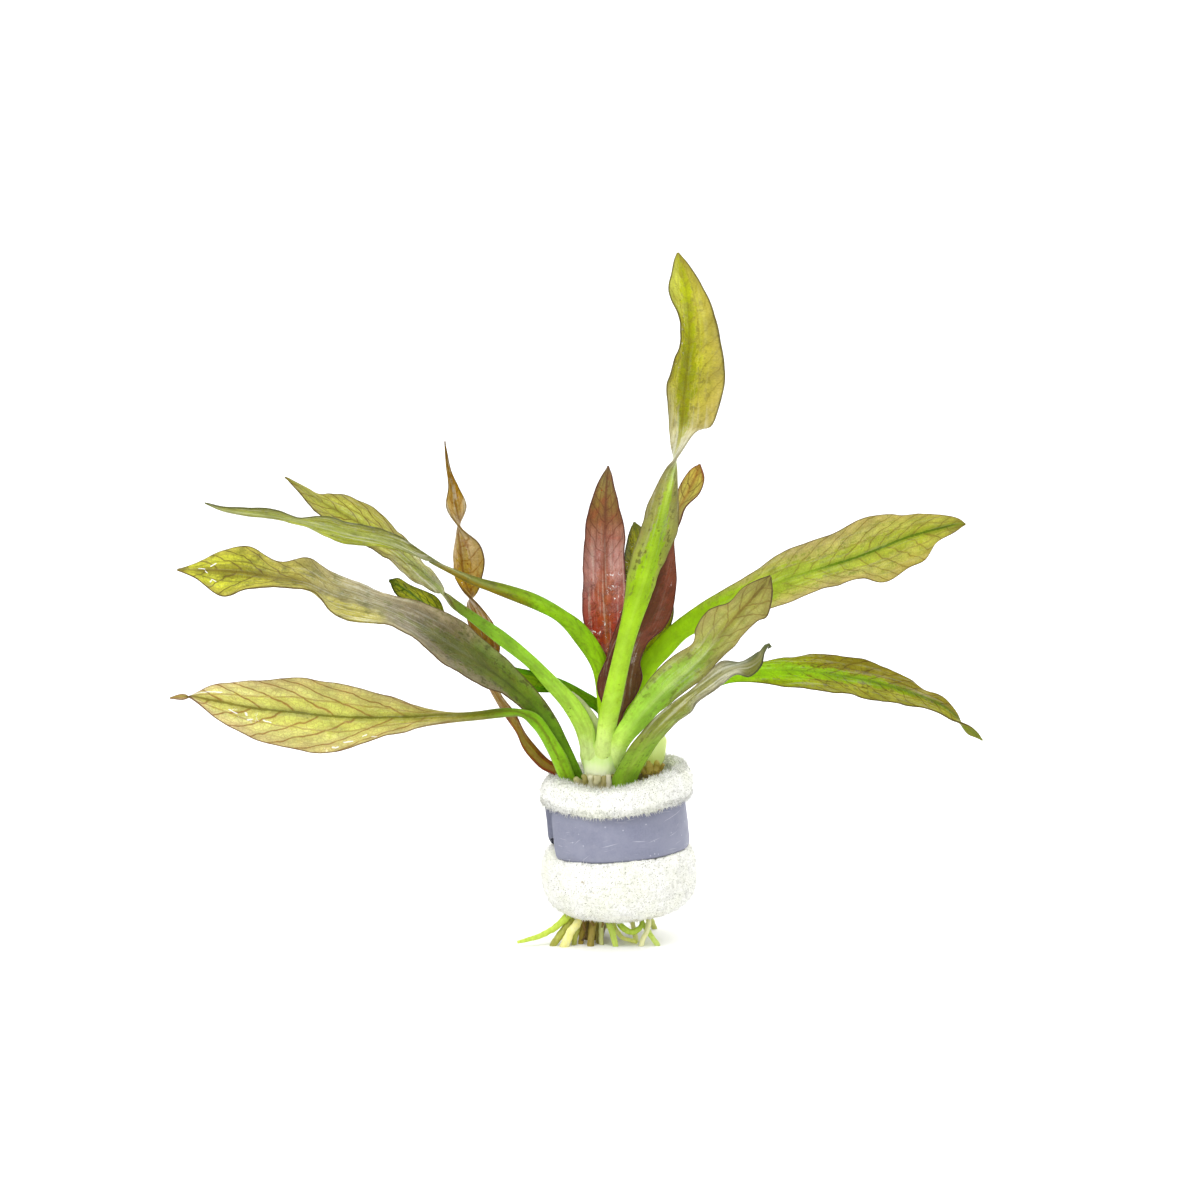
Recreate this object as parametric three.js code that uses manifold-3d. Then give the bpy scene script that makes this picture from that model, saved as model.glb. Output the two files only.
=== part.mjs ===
import * as THREE from "three";
import Module from "manifold-3d";

// A bare-root aquarium sword plant held in a rolled foam sleeve, tied with a soft grey metal strip.
// Millimetres, +Z up, the viewer looks along +Y. The origin is the trimmed foot of the root stock.

// Foam sleeve.
const FOAM_AXIS_X = 6;
const FOAM_SEGMENTS = 30;
const FOAM_SEAM_GAP = 0.6;
const FOAM_WAIST_RADIUS = 13.1;
const RIM_RISE_RIGHT = 2.6;
const RIM_RISE_BACK = 0.8;
// Each row is radius, height and how much of the rim's rise on the right that point takes.
const FOAM_PROFILE = [
  [9.4, 6.5, 0.15],
  [13.4, 7.0, 0.2],
  [16.0, 9.4, 0.2],
  [17.25, 13.2, 0.1],
  [16.9, 17.2, 0.05],
  [15.6, 19.4, 0.1],
  [FOAM_WAIST_RADIUS, 19.9, 0.1],
  [FOAM_WAIST_RADIUS, 26.0, 0.2],
  [FOAM_WAIST_RADIUS, 32.4, 0.3],
  [16.4, 31.7, 0.6],
  [16.9, 30.3, 0.65],
  [17.4, 33.6, 0.6],
  [16.4, 36.0, 0.85],
  [14.2, 37.1, 1],
  [12.6, 36.2, 0.9],
  [10.2, 31.0, 0.4],
  [8.4, 24.0, 0.1],
  [8.1, 12.0, 0],
];

// Strip of soft metal wound once around the sleeve and tucked under its own outer end.
const STRIP_WIDTH = 11.4;
const STRIP_THICKNESS = 0.9;
const STRIP_AXIS_X = 5.7;
const STRIP_MID_RADIUS = 15.3;
const STRIP_FLARE = 0.08;
const STRIP_LEAN = 0.05;
const STRIP_TUCK = 1.3;
const STRIP_TUCK_FROM_DEG = 322;
const STRIP_TUCK_TO_DEG = 358;
const STRIP_START_DEG = -160;
const STRIP_SWEEP_DEG = 402;
const STRIP_STEPS = 36;
const STRIP_BOTTOM_Z = 20.05;
const STRIP_RISE_PER_TURN = 1.6;
const STRIP_TILT_DEG = 3.3;
const STRIP_MID_Z = 26;

// The eye that the leaf tables below are drawn from.
const EYE_ELEVATION_DEG = 7;
const EYE_DISTANCE = 750;
const EYE_TARGET = new THREE.Vector3(1.8, 0, 76.6);
const EYE_CENTRE_ACROSS = 1.78;
const EYE_CENTRE_UP = 75.1;

// Half thickness of a leaf at its thin edge, and the room left between pieces that touch.
const EDGE_HALF_THICKNESS = 0.17;
const TOUCH_GAP = 0.32;

// Every leaf is a row of stations from base to tip.
// A station is the middle of the leaf, then its a edge, then its b edge, then the middle's thickness.
// Middle: across, up, depth. Edge: across, up, depth beyond the middle's.
// The upper face of a leaf looks at the viewer where the a edge is left of the way it grows.
const LEAVES = {
  leaf_left_low: [
    [-1.6, 28.0, -2.6, -3.0, 27.6, 0.2, -0.2, 28.6, 0.2, 2.4],
    [-4.9, 34.3, -4.0, -6.5, 34.2, 0.4, -3.3, 34.6, 0.5, 2.5],
    [-7.4, 40.5, -7.0, -9.2, 40.2, 0.4, -5.6, 40.4, 0.5, 2.4],
    [-10.1, 45.4, -10.2, -11.7, 44.9, 0.4, -8.8, 45.4, 0.5, 2.1],
    [-12.8, 48.4, -12.8, -13.6, 47.2, 0.3, -12.0, 49.6, 0.4, 1.8],
    [-16.0, 50.0, -14.9, -16.1, 49.2, -0.3, -15.7, 50.9, 0.3, 1.6],
    [-20.5, 50.0, -17.1, -20.5, 49.0, -0.8, -20.5, 50.9, 0.8, 1.5],
    [-25.5, 49.4, -18.6, -25.5, 48.5, -1.0, -25.5, 50.2, 1.0, 1.4],
    [-30.5, 49.1, -20.0, -30.5, 48.0, -1.3, -30.5, 49.9, 1.3, 1.3],
    [-36.0, 49.1, -21.2, -36.0, 47.2, -1.8, -36.0, 50.8, 1.8, 1.2],
    [-42.0, 49.0, -22.2, -42.0, 45.8, -2.4, -42.0, 52.7, 2.4, 1.1],
    [-50.0, 48.9, -23.2, -50.0, 43.6, -3.0, -50.0, 55.1, 3.0, 1.0],
    [-58.0, 49.2, -24.0, -58.0, 41.1, -3.6, -58.0, 56.8, 3.6, 0.95],
    [-66.0, 50.1, -24.6, -66.0, 41.9, -3.6, -66.0, 57.8, 3.6, 0.9],
    [-75.0, 51.0, -25.2, -75.0, 44.2, -3.0, -75.0, 57.1, 3.0, 0.85],
    [-83.0, 52.5, -25.6, -82.6, 48.2, -2.0, -83.2, 56.5, 2.0, 0.8],
    [-88.3, 53.4, -25.5, -88.0, 52.5, -1.0, -88.4, 54.2, 1.0, 0.65],
    [-90.6, 53.6, -25.1, -90.6, 54.2, 0.5, -90.6, 53.0, -0.5, 0.6],
    [-93.8, 53.3, -24.5, -93.7, 53.45, 0.05, -93.7, 53.15, -0.05, 0.4],
  ],
  leaf_left_wavy: [
    [0.2, 28.0, -2.0, -1.0, 28.0, 0.0, 1.4, 28.0, 0.0, 2.2],
    [-2.5, 34.5, -2.4, -3.9, 34.6, -0.3, -1.3, 34.5, 0.3, 2.3],
    [-4.7, 39.0, -3.6, -6.2, 38.8, -0.4, -3.2, 39.1, 0.4, 2.2],
    [-7.5, 44.0, -6.0, -9.2, 43.5, -0.5, -5.6, 44.2, 0.6, 2.0],
    [-10.5, 48.4, -9.0, -12.2, 47.4, -0.6, -8.1, 49.2, 1.0, 1.8],
    [-14.5, 52.7, -12.8, -15.8, 51.2, -1.2, -12.0, 54.6, 1.8, 1.6],
    [-19.0, 56.6, -16.8, -19.6, 54.0, -2.6, -17.2, 60.2, 3.0, 1.4],
    [-24.5, 60.5, -20.4, -25.0, 56.4, -4.0, -23.0, 65.4, 4.0, 1.2],
    [-31.0, 64.5, -24.4, -32.0, 60.4, -5.0, -29.0, 70.4, 5.0, 1.1],
    [-38.0, 68.8, -28.0, -38.2, 65.5, -5.5, -36.5, 74.1, 5.5, 1.0],
    [-45.0, 72.3, -31.0, -44.5, 69.5, -6.0, -44.0, 76.0, 6.0, 0.95],
    [-52.0, 74.6, -33.5, -51.0, 70.0, -6.0, -51.0, 78.5, 6.0, 0.9],
    [-58.0, 76.4, -35.5, -57.2, 72.0, -5.8, -57.5, 81.2, 6.0, 0.9],
    [-63.5, 78.8, -37.0, -62.2, 76.9, -5.0, -63.0, 84.4, 5.5, 0.9],
    [-70.0, 79.9, -38.5, -70.0, 78.1, -4.0, -69.5, 83.6, 4.5, 0.85],
    [-76.5, 81.0, -39.5, -77.0, 77.3, -3.5, -76.0, 86.9, 4.0, 0.8],
    [-83.0, 81.6, -40.5, -82.5, 76.0, -3.0, -82.5, 85.9, 3.0, 0.75],
    [-88.5, 81.6, -41.0, -88.0, 79.9, -1.2, -88.0, 83.3, 1.2, 0.6],
    [-92.2, 81.8, -41.3, -92.1, 81.65, 0.0, -92.1, 81.95, 0.0, 0.4],
  ],
  leaf_left_pale: [
    [3.1, 45.0, -2.6, 4.6, 45.2, 0.3, 1.6, 44.8, 0.3, 2.0],
    [2.8, 53.0, -2.2, 4.5, 53.4, 0.3, 1.2, 52.6, 0.3, 2.0],
    [1.7, 60.8, -1.3, 3.4, 61.8, 0.4, 0.0, 59.9, 0.4, 1.9],
    [-2.6, 67.2, 0.6, -1.1, 69.1, 0.4, -4.1, 66.3, 0.4, 1.8],
    [-7.0, 71.4, 3.0, -6.2, 72.9, 0.8, -7.7, 70.4, 0.2, 1.7],
    [-12.5, 74.6, 5.5, -12.3, 76.3, 1.0, -12.7, 73.0, 0.0, 1.5],
    [-19.0, 77.0, 8.5, -18.8, 78.4, 1.0, -19.2, 75.6, 0.0, 1.3],
    [-26.0, 79.2, 11.5, -25.8, 80.2, 0.8, -26.0, 78.3, -0.8, 1.2],
    [-33.0, 82.4, 14.0, -33.0, 83.0, 0.4, -33.0, 82.0, -1.0, 1.0],
    [-38.0, 84.9, 16.0, -37.4, 85.6, -1.5, -38.0, 84.6, 0.8, 0.9],
    [-42.0, 86.9, 17.2, -42.0, 88.7, -2.5, -42.0, 85.9, 2.0, 0.85],
    [-47.0, 88.6, 18.4, -47.0, 91.0, -3.5, -47.0, 87.1, 3.0, 0.8],
    [-53.0, 89.8, 19.6, -52.5, 91.9, -4.0, -53.0, 87.3, 4.0, 0.8],
    [-59.0, 91.4, 20.8, -58.5, 93.6, -4.0, -59.0, 89.2, 4.0, 0.8],
    [-65.0, 92.8, 21.8, -64.5, 93.4, -3.0, -65.0, 91.9, 3.5, 0.75],
    [-71.0, 94.1, 22.6, -71.0, 95.2, -2.5, -71.0, 93.1, 3.0, 0.7],
    [-77.0, 94.7, 23.3, -77.0, 95.6, -2.0, -77.0, 93.9, 2.0, 0.65],
    [-82.0, 95.3, 24.0, -82.0, 95.8, -1.0, -82.0, 94.9, 1.0, 0.5],
    [-86.1, 96.7, 24.5, -86.0, 96.8, 0.0, -86.0, 96.6, 0.0, 0.4],
  ],
  leaf_left_high: [
    [-0.9, 42.6, -6.6, 0.9, 42.8, 0.4, -2.6, 42.4, 0.4, 2.4],
    [-1.9, 47.0, -6.4, 0.2, 47.5, 0.5, -3.8, 46.5, 0.4, 2.4],
    [-4.9, 52.0, -5.2, -3.0, 52.9, 0.5, -6.6, 51.3, 0.3, 2.2],
    [-9.0, 56.6, -2.8, -7.2, 57.0, 0.5, -10.6, 55.9, 0.2, 2.1],
    [-14.0, 61.4, 0.6, -13.2, 62.9, 0.6, -14.8, 60.7, 0.2, 1.9],
    [-20.0, 66.4, 4.8, -19.3, 67.9, 0.8, -20.6, 65.2, 0.2, 1.7],
    [-26.0, 70.7, 9.5, -25.4, 71.8, 0.8, -26.8, 70.2, 0.2, 1.5],
    [-30.0, 73.6, 13.0, -29.6, 74.7, 1.0, -30.3, 72.7, -0.6, 1.3],
    [-32.2, 75.8, 15.6, -32.1, 76.3, 1.8, -32.3, 75.4, -1.8, 1.1],
    [-34.6, 78.0, 18.0, -35.0, 76.8, -1.5, -33.2, 78.2, 1.6, 1.0],
    [-37.6, 81.0, 21.0, -39.2, 79.1, -3.0, -35.7, 81.6, 3.0, 0.95],
    [-41.5, 84.6, 24.3, -43.6, 82.6, -4.0, -39.4, 86.0, 4.0, 0.9],
    [-46.0, 88.4, 27.6, -48.2, 86.2, -4.0, -43.2, 90.6, 4.0, 0.9],
    [-51.0, 91.6, 30.6, -53.0, 88.5, -4.0, -48.5, 95.4, 4.0, 0.85],
    [-56.0, 94.4, 33.2, -58.0, 91.5, -3.8, -54.5, 98.4, 3.8, 0.8],
    [-60.5, 97.0, 35.2, -62.0, 95.4, -2.8, -59.8, 98.5, 2.8, 0.75],
    [-65.0, 100.2, 37.2, -65.3, 99.2, -1.5, -64.6, 100.6, 1.5, 0.6],
    [-68.2, 102.4, 38.6, -68.2, 102.3, 0.0, -68.1, 102.5, 0.0, 0.4],
  ],
  leaf_left_short: [
    [3.8, 45.0, 0.4, 3.0, 44.2, 0.0, 4.6, 46.0, 0.0, 1.8],
    [2.0, 50.7, 2.7, 1.6, 49.4, -0.4, 2.3, 52.0, 0.4, 1.7],
    [-2.0, 53.6, 2.4, -2.2, 52.3, -0.5, -1.8, 54.9, 0.5, 1.6],
    [-7.0, 55.9, 1.6, -6.6, 54.4, -0.8, -7.2, 57.6, 0.8, 1.4],
    [-12.5, 57.0, 0.3, -12.3, 54.7, -1.0, -13.0, 59.3, 1.0, 1.3],
    [-18.0, 58.5, -1.5, -17.6, 56.4, -1.0, -18.5, 60.6, 1.0, 1.2],
    [-24.0, 62.0, -3.8, -23.4, 60.0, -1.2, -24.6, 64.2, 1.2, 1.1],
    [-30.0, 67.0, -6.0, -29.0, 65.0, -2.0, -31.0, 69.5, 2.0, 1.0],
    [-34.5, 71.8, -7.7, -33.2, 69.8, -2.8, -34.2, 75.3, 2.8, 0.9],
    [-38.2, 74.8, -8.9, -37.4, 72.0, -3.0, -37.8, 77.25, 3.0, 0.85],
    [-41.5, 77.2, -9.9, -41.0, 74.5, -2.4, -41.2, 78.9, 2.4, 0.75],
    [-43.6, 78.5, -10.5, -43.6, 76.4, -1.5, -43.2, 80.0, 1.5, 0.6],
    [-45.1, 79.4, -11.0, -45.0, 79.2, 0.0, -44.9, 79.6, 0.0, 0.4],
  ],
  leaf_ochre_spiral: [
    [-2.2, 29.4, -2.2, -3.0, 28.6, 0.0, -1.4, 30.4, 0.0, 1.6],
    [-7.0, 36.5, -1.4, -7.6, 35.4, 0.3, -6.3, 37.6, -0.3, 1.3],
    [-10.7, 38.9, 0.0, -11.5, 37.8, 0.3, -9.8, 39.8, -0.3, 1.1],
    [-14.2, 42.7, 2.4, -15.0, 41.7, 0.3, -13.4, 43.7, -0.3, 1.0],
    [-16.0, 46.0, 4.8, -16.8, 45.6, 0.4, -15.2, 46.3, -0.3, 0.95],
    [-18.3, 50.0, 7.8, -19.5, 49.6, 1.0, -17.2, 50.3, -0.6, 0.95],
    [-21.6, 55.0, 11.6, -22.7, 55.2, 1.0, -20.4, 54.6, -0.6, 0.95],
    [-23.6, 60.5, 15.0, -25.4, 60.9, 1.4, -21.6, 60.1, -1.0, 0.9],
    [-24.0, 66.0, 18.0, -26.6, 67.2, 1.6, -20.4, 64.4, -1.0, 0.9],
    [-25.2, 70.8, 19.8, -27.8, 71.2, 1.2, -21.7, 69.6, -0.8, 0.85],
    [-26.4, 74.0, 20.8, -27.7, 74.4, 1.5, -25.0, 73.8, -1.2, 0.85],
    [-27.0, 75.6, 21.4, -26.8, 75.4, 1.8, -27.2, 75.8, -1.8, 0.85],
    [-27.6, 77.4, 22.0, -25.3, 77.0, 0.2, -28.9, 77.4, -0.6, 0.85],
    [-28.4, 80.6, 22.9, -24.4, 80.2, -1.4, -30.6, 80.4, 0.8, 0.85],
    [-28.8, 84.4, 23.9, -23.8, 84.2, -1.8, -30.8, 84.0, 1.2, 0.85],
    [-29.2, 88.0, 24.8, -25.2, 87.8, -1.6, -30.1, 88.0, 1.0, 0.8],
    [-29.5, 91.2, 25.6, -29.2, 91.1, -1.6, -29.8, 91.2, 1.4, 0.75],
    [-30.3, 95.5, 26.6, -32.3, 95.5, -1.0, -27.9, 95.9, 1.0, 0.7],
    [-31.0, 100.0, 27.8, -31.9, 100.3, -0.3, -29.6, 100.2, 0.3, 0.6],
    [-31.9, 104.5, 28.8, -32.4, 104.5, 0.2, -31.5, 104.5, -0.2, 0.5],
    [-32.7, 110.4, 30.0, -32.8, 110.3, 0.0, -32.6, 110.3, 0.0, 0.4],
  ],
  leaf_red_centre: [
    [4.5, 44.5, -0.6, 3.3, 44.5, 0.0, 5.7, 44.5, 0.0, 1.8],
    [4.3, 53.0, 3.2, 2.6, 53.0, -0.3, 6.2, 53.0, -0.3, 1.6],
    [3.9, 60.5, 5.0, 0.6, 60.5, -0.8, 7.0, 60.5, -0.8, 1.4],
    [3.4, 66.0, 6.6, -1.2, 66.0, -1.2, 7.4, 66.0, -1.2, 1.3],
    [3.1, 71.0, 8.2, -1.9, 71.0, -1.5, 7.4, 71.0, -1.5, 1.2],
    [2.9, 76.0, 10.0, -2.15, 76.0, -1.6, 7.5, 76.0, -1.6, 1.1],
    [2.8, 81.0, 11.8, -1.95, 81.0, -1.6, 7.4, 81.0, -1.6, 1.0],
    [2.8, 86.0, 13.6, -1.85, 86.0, -1.5, 7.2, 86.0, -1.5, 0.95],
    [2.9, 91.0, 15.4, -1.5, 91.0, -1.3, 7.2, 91.0, -1.3, 0.9],
    [3.0, 95.5, 16.9, -0.6, 95.5, -1.0, 6.2, 95.5, -1.0, 0.8],
    [3.2, 100.0, 18.4, 0.8, 100.0, -0.6, 5.0, 100.0, -0.6, 0.7],
    [3.5, 103.0, 19.4, 2.3, 103.0, -0.3, 4.4, 103.0, -0.3, 0.6],
    [3.6, 104.9, 20.1, 3.5, 104.8, 0.0, 3.7, 104.8, 0.0, 0.4],
  ],
  leaf_red_right: [
    [5.4, 45.0, -2.2, 4.4, 45.0, 0.0, 6.4, 45.2, 0.0, 1.7],
    [5.2, 50.0, -1.4, 2.9, 50.0, -1.0, 7.0, 50.0, -0.5, 1.5],
    [5.6, 54.0, -0.6, 1.6, 54.0, -1.8, 9.8, 54.0, -1.2, 1.3],
    [6.2, 58.0, 0.3, 1.4, 57.8, -2.2, 11.3, 58.0, -1.4, 1.2],
    [7.0, 62.0, 1.4, 3.1, 62.0, -1.8, 10.6, 61.6, -1.2, 1.1],
    [8.6, 66.0, 2.8, 4.3, 66.0, -1.6, 12.6, 65.6, -0.8, 1.1],
    [10.6, 70.0, 4.4, 5.6, 70.0, -1.2, 16.4, 69.3, -0.6, 1.0],
    [12.6, 74.5, 6.2, 7.6, 75.0, -0.8, 18.2, 74.0, -0.6, 1.0],
    [14.3, 79.5, 8.0, 9.8, 80.0, -0.6, 18.8, 79.2, -0.6, 0.9],
    [15.8, 85.0, 9.9, 12.2, 85.6, -0.4, 18.5, 84.8, -0.6, 0.85],
    [17.0, 89.5, 11.4, 15.2, 90.2, 0.2, 18.4, 88.8, -0.4, 0.8],
    [18.5, 93.0, 12.6, 17.4, 93.8, 0.8, 19.8, 92.8, -0.8, 0.75],
    [19.9, 96.0, 13.6, 18.8, 96.8, 1.2, 20.9, 95.8, -0.8, 0.7],
    [21.4, 99.0, 14.6, 19.3, 100.0, 0.8, 23.8, 98.6, -0.6, 0.65],
    [22.8, 102.0, 15.6, 20.8, 102.8, 0.4, 25.0, 101.8, -0.3, 0.6],
    [23.6, 104.0, 16.2, 22.3, 104.5, 0.2, 24.6, 104.0, 0.0, 0.5],
    [23.9, 105.3, 16.6, 23.8, 105.2, 0.0, 24.0, 105.2, 0.0, 0.4],
  ],
  leaf_dark_centre: [
    [6.6, 44.6, -1.0, 5.7, 44.6, 0.0, 7.5, 44.6, 0.0, 1.5],
    [8.0, 53.0, 5.6, 6.4, 53.0, -0.3, 10.0, 53.0, -0.3, 1.4],
    [10.0, 60.0, 7.8, 7.2, 60.4, -0.5, 13.0, 59.6, -0.5, 1.2],
    [11.6, 66.0, 10.2, 7.6, 66.4, -0.8, 15.8, 65.7, -0.8, 1.1],
    [12.5, 72.0, 12.4, 7.8, 72.0, -0.8, 18.1, 71.6, -0.8, 1.0],
    [12.4, 78.0, 14.6, 7.6, 78.0, -0.8, 17.4, 78.0, -0.8, 0.95],
    [11.4, 84.0, 16.6, 7.2, 84.0, -0.8, 15.4, 84.4, -0.8, 0.85],
    [10.2, 89.0, 18.2, 7.9, 88.8, -0.5, 12.8, 89.4, -0.5, 0.75],
    [9.6, 91.4, 19.0, 8.7, 91.3, -0.2, 10.8, 91.5, -0.2, 0.6],
    [9.4, 92.4, 19.4, 9.25, 92.3, 0.0, 9.55, 92.3, 0.0, 0.4],
  ],
  leaf_tallest: [
    [2.8, 43.6, -7.8, 4.7, 43.6, 0.6, 0.9, 43.6, 0.6, 2.5],
    [3.4, 48.0, -8.4, 5.5, 47.8, 0.6, 1.5, 48.0, 0.6, 2.5],
    [4.2, 53.0, -8.6, 6.6, 52.6, 0.6, 2.6, 53.0, 0.6, 2.4],
    [5.5, 59.0, -8.6, 7.8, 58.6, 0.6, 4.1, 59.0, 0.6, 2.3],
    [7.2, 65.5, -8.2, 9.3, 65.2, 0.6, 5.5, 65.5, 0.6, 2.2],
    [9.2, 72.0, -7.6, 11.4, 71.6, 0.8, 6.8, 72.0, 0.8, 2.0],
    [11.4, 79.0, -7.1, 14.0, 78.6, 1.4, 7.8, 79.4, 1.2, 1.7],
    [13.6, 86.0, -6.8, 16.8, 85.6, 1.8, 9.2, 86.2, 1.6, 1.4],
    [15.0, 91.0, -6.6, 19.2, 91.2, 2.0, 11.2, 91.2, 1.8, 1.2],
    [16.2, 96.0, -6.6, 19.1, 96.0, 2.0, 12.2, 96.0, 1.6, 1.1],
    [17.2, 100.5, -6.7, 18.9, 100.5, 1.8, 14.4, 100.6, 0.6, 1.0],
    [17.9, 104.0, -6.9, 18.8, 103.8, 2.0, 16.3, 104.2, -0.6, 0.95],
    [18.4, 106.3, -7.1, 18.4, 106.2, 2.4, 18.5, 106.4, -2.0, 0.9],
    [19.2, 109.0, -7.5, 17.6, 109.2, 1.6, 20.4, 108.9, -1.4, 0.9],
    [19.7, 112.0, -7.9, 17.2, 112.0, 1.0, 23.2, 112.6, -1.4, 0.9],
    [20.1, 114.8, -8.4, 17.0, 114.8, 0.6, 26.4, 113.6, -2.0, 0.9],
    [20.3, 118.0, -9.0, 16.9, 118.0, 0.0, 28.1, 117.4, -2.0, 0.9],
    [20.7, 122.5, -9.8, 16.8, 122.5, -0.6, 29.4, 122.5, -2.2, 0.9],
    [21.2, 127.5, -10.4, 17.9, 127.6, -1.0, 29.4, 127.5, -2.2, 0.9],
    [21.6, 133.0, -10.9, 20.0, 133.0, -1.6, 28.6, 133.0, -2.0, 0.85],
    [21.4, 138.5, -11.0, 19.0, 138.6, -1.4, 27.2, 138.4, -1.8, 0.8],
    [21.0, 143.0, -10.8, 17.1, 143.4, -0.8, 25.6, 143.0, -1.4, 0.75],
    [20.2, 147.5, -10.4, 17.7, 147.8, -0.5, 22.9, 147.6, -0.8, 0.65],
    [19.4, 150.8, -10.0, 18.3, 150.8, -0.2, 20.8, 150.6, -0.3, 0.5],
    [19.1, 152.3, -9.8, 18.95, 152.2, 0.0, 19.25, 152.2, 0.0, 0.4],
  ],
  leaf_right_front: [
    [5.4, 41.8, -7.6, 7.4, 41.5, 0.5, 3.6, 42.3, 0.5, 2.5],
    [7.0, 45.0, -8.6, 9.3, 44.4, 0.5, 5.0, 45.8, 0.5, 2.4],
    [9.8, 48.4, -10.4, 11.6, 46.6, 0.5, 7.2, 49.4, 0.5, 2.2],
    [13.2, 52.2, -12.6, 15.0, 50.1, 0.6, 10.4, 54.3, 0.6, 1.9],
    [17.6, 56.6, -15.6, 19.6, 53.9, 0.6, 14.6, 59.7, 0.8, 1.6],
    [22.0, 60.4, -18.8, 24.4, 57.4, 0.6, 18.0, 62.7, 1.2, 1.3],
    [25.4, 63.8, -21.4, 28.2, 61.6, 0.6, 22.2, 65.4, 1.4, 1.2],
    [28.0, 67.0, -23.6, 31.4, 64.5, 0.4, 23.2, 69.2, 1.4, 1.1],
    [30.6, 70.0, -25.6, 33.4, 67.1, 0.2, 26.0, 73.0, 1.0, 1.0],
    [33.4, 73.2, -27.6, 36.6, 70.2, 0.0, 30.2, 74.4, 0.6, 0.9],
    [35.8, 75.6, -29.2, 39.1, 71.6, -0.4, 33.4, 77.8, 0.4, 0.8],
    [38.2, 78.4, -31.0, 40.1, 76.2, -0.6, 36.8, 79.6, 0.2, 0.65],
    [39.7, 80.4, -32.2, 39.85, 80.1, 0.0, 39.5, 80.5, 0.0, 0.4],
  ],
  leaf_right_low: [
    [4.6, 28.6, -6.4, 3.0, 28.6, 0.3, 6.2, 28.6, 0.3, 2.3],
    [6.7, 34.0, -8.4, 3.9, 34.0, 0.3, 9.5, 34.0, 0.3, 2.3],
    [8.4, 38.0, -10.6, 5.7, 38.0, 0.3, 11.2, 37.8, 0.3, 2.2],
    [11.0, 42.0, -13.0, 8.0, 42.0, 0.3, 13.8, 42.1, 0.2, 2.0],
    [13.8, 45.6, -15.2, 11.0, 45.8, 0.6, 16.3, 45.2, -0.2, 1.7],
    [16.8, 48.6, -17.2, 14.3, 49.3, 1.0, 19.0, 48.0, -0.6, 1.4],
    [20.0, 51.4, -19.0, 18.2, 52.5, 1.2, 22.0, 50.1, -1.2, 1.2],
    [23.2, 54.0, -20.6, 21.8, 55.0, 1.6, 23.4, 52.4, -1.8, 1.1],
    [26.4, 56.6, -22.2, 25.0, 58.0, 2.0, 27.4, 55.2, -2.4, 1.0],
    [29.4, 58.8, -23.8, 28.6, 61.4, 2.6, 30.0, 57.4, -2.8, 0.95],
    [32.4, 60.0, -25.4, 32.6, 61.2, 2.6, 32.4, 58.5, -3.0, 0.9],
    [35.0, 60.6, -26.8, 35.4, 62.6, 2.0, 35.0, 58.1, -2.6, 0.85],
    [37.0, 62.0, -28.0, 36.8, 63.5, 1.0, 37.6, 60.4, -1.6, 0.75],
    [38.2, 63.6, -28.8, 37.9, 64.1, 0.4, 38.5, 63.2, -0.5, 0.6],
    [39.3, 64.9, -29.4, 39.1, 65.1, 0.0, 39.5, 64.8, 0.0, 0.4],
  ],
  leaf_right_high: [
    [7.4, 44.6, -2.4, 6.2, 45.0, 0.0, 8.6, 44.4, 0.0, 2.0],
    [9.0, 51.0, 2.2, 7.5, 51.6, 0.3, 10.6, 50.4, 0.3, 2.0],
    [12.0, 59.2, 4.6, 10.3, 61.0, 0.4, 13.6, 58.4, 0.4, 1.9],
    [15.6, 63.9, 6.6, 13.8, 65.8, 0.4, 17.2, 62.7, 0.4, 1.8],
    [19.8, 67.7, 8.8, 18.2, 70.1, 0.5, 21.2, 66.8, 0.5, 1.6],
    [24.6, 70.8, 11.2, 23.4, 73.9, 1.0, 25.6, 69.0, -0.3, 1.4],
    [30.0, 73.6, 13.8, 29.4, 77.6, 1.6, 31.0, 71.0, -1.0, 1.2],
    [36.0, 76.4, 16.6, 35.2, 80.9, 2.2, 36.6, 72.4, -1.6, 1.1],
    [42.0, 79.2, 19.4, 41.0, 85.0, 2.8, 42.4, 74.0, -2.2, 1.0],
    [48.0, 81.2, 22.0, 47.0, 87.7, 3.0, 48.4, 76.5, -2.6, 1.0],
    [54.0, 83.0, 24.6, 53.4, 89.8, 3.0, 54.6, 78.5, -2.8, 0.95],
    [60.0, 85.0, 27.0, 59.4, 93.0, 3.0, 60.0, 79.8, -2.8, 0.95],
    [65.5, 87.2, 29.0, 65.6, 94.2, 2.8, 65.4, 79.1, -2.6, 0.9],
    [70.0, 89.0, 30.4, 70.0, 93.9, 2.4, 70.4, 82.2, -2.2, 0.85],
    [74.0, 90.2, 31.6, 74.4, 94.3, 2.0, 74.1, 84.0, -2.0, 0.8],
    [77.6, 91.1, 32.4, 78.0, 94.0, 1.6, 76.6, 87.8, -1.4, 0.7],
    [80.8, 91.8, 33.0, 81.2, 93.3, 0.8, 80.6, 90.1, -0.8, 0.6],
    [83.0, 92.0, 33.4, 83.0, 92.15, 0.0, 82.95, 91.85, 0.0, 0.4],
  ],
  leaf_right_long: [
    [12.9, 43.6, 2.6, 11.8, 44.0, 0.0, 14.0, 43.0, 0.0, 1.9],
    [16.0, 47.8, 1.4, 15.0, 48.6, 0.3, 17.0, 47.0, 0.3, 1.9],
    [20.0, 51.9, 0.4, 19.3, 53.0, 0.3, 20.7, 50.9, 0.3, 1.8],
    [25.0, 55.5, -0.5, 24.4, 56.7, 0.4, 25.4, 54.5, 0.2, 1.7],
    [30.0, 57.7, -1.0, 29.7, 58.9, 0.7, 30.2, 56.5, -0.3, 1.5],
    [35.0, 58.9, -1.0, 34.8, 60.7, 1.4, 35.2, 56.8, -1.0, 1.4],
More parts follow.
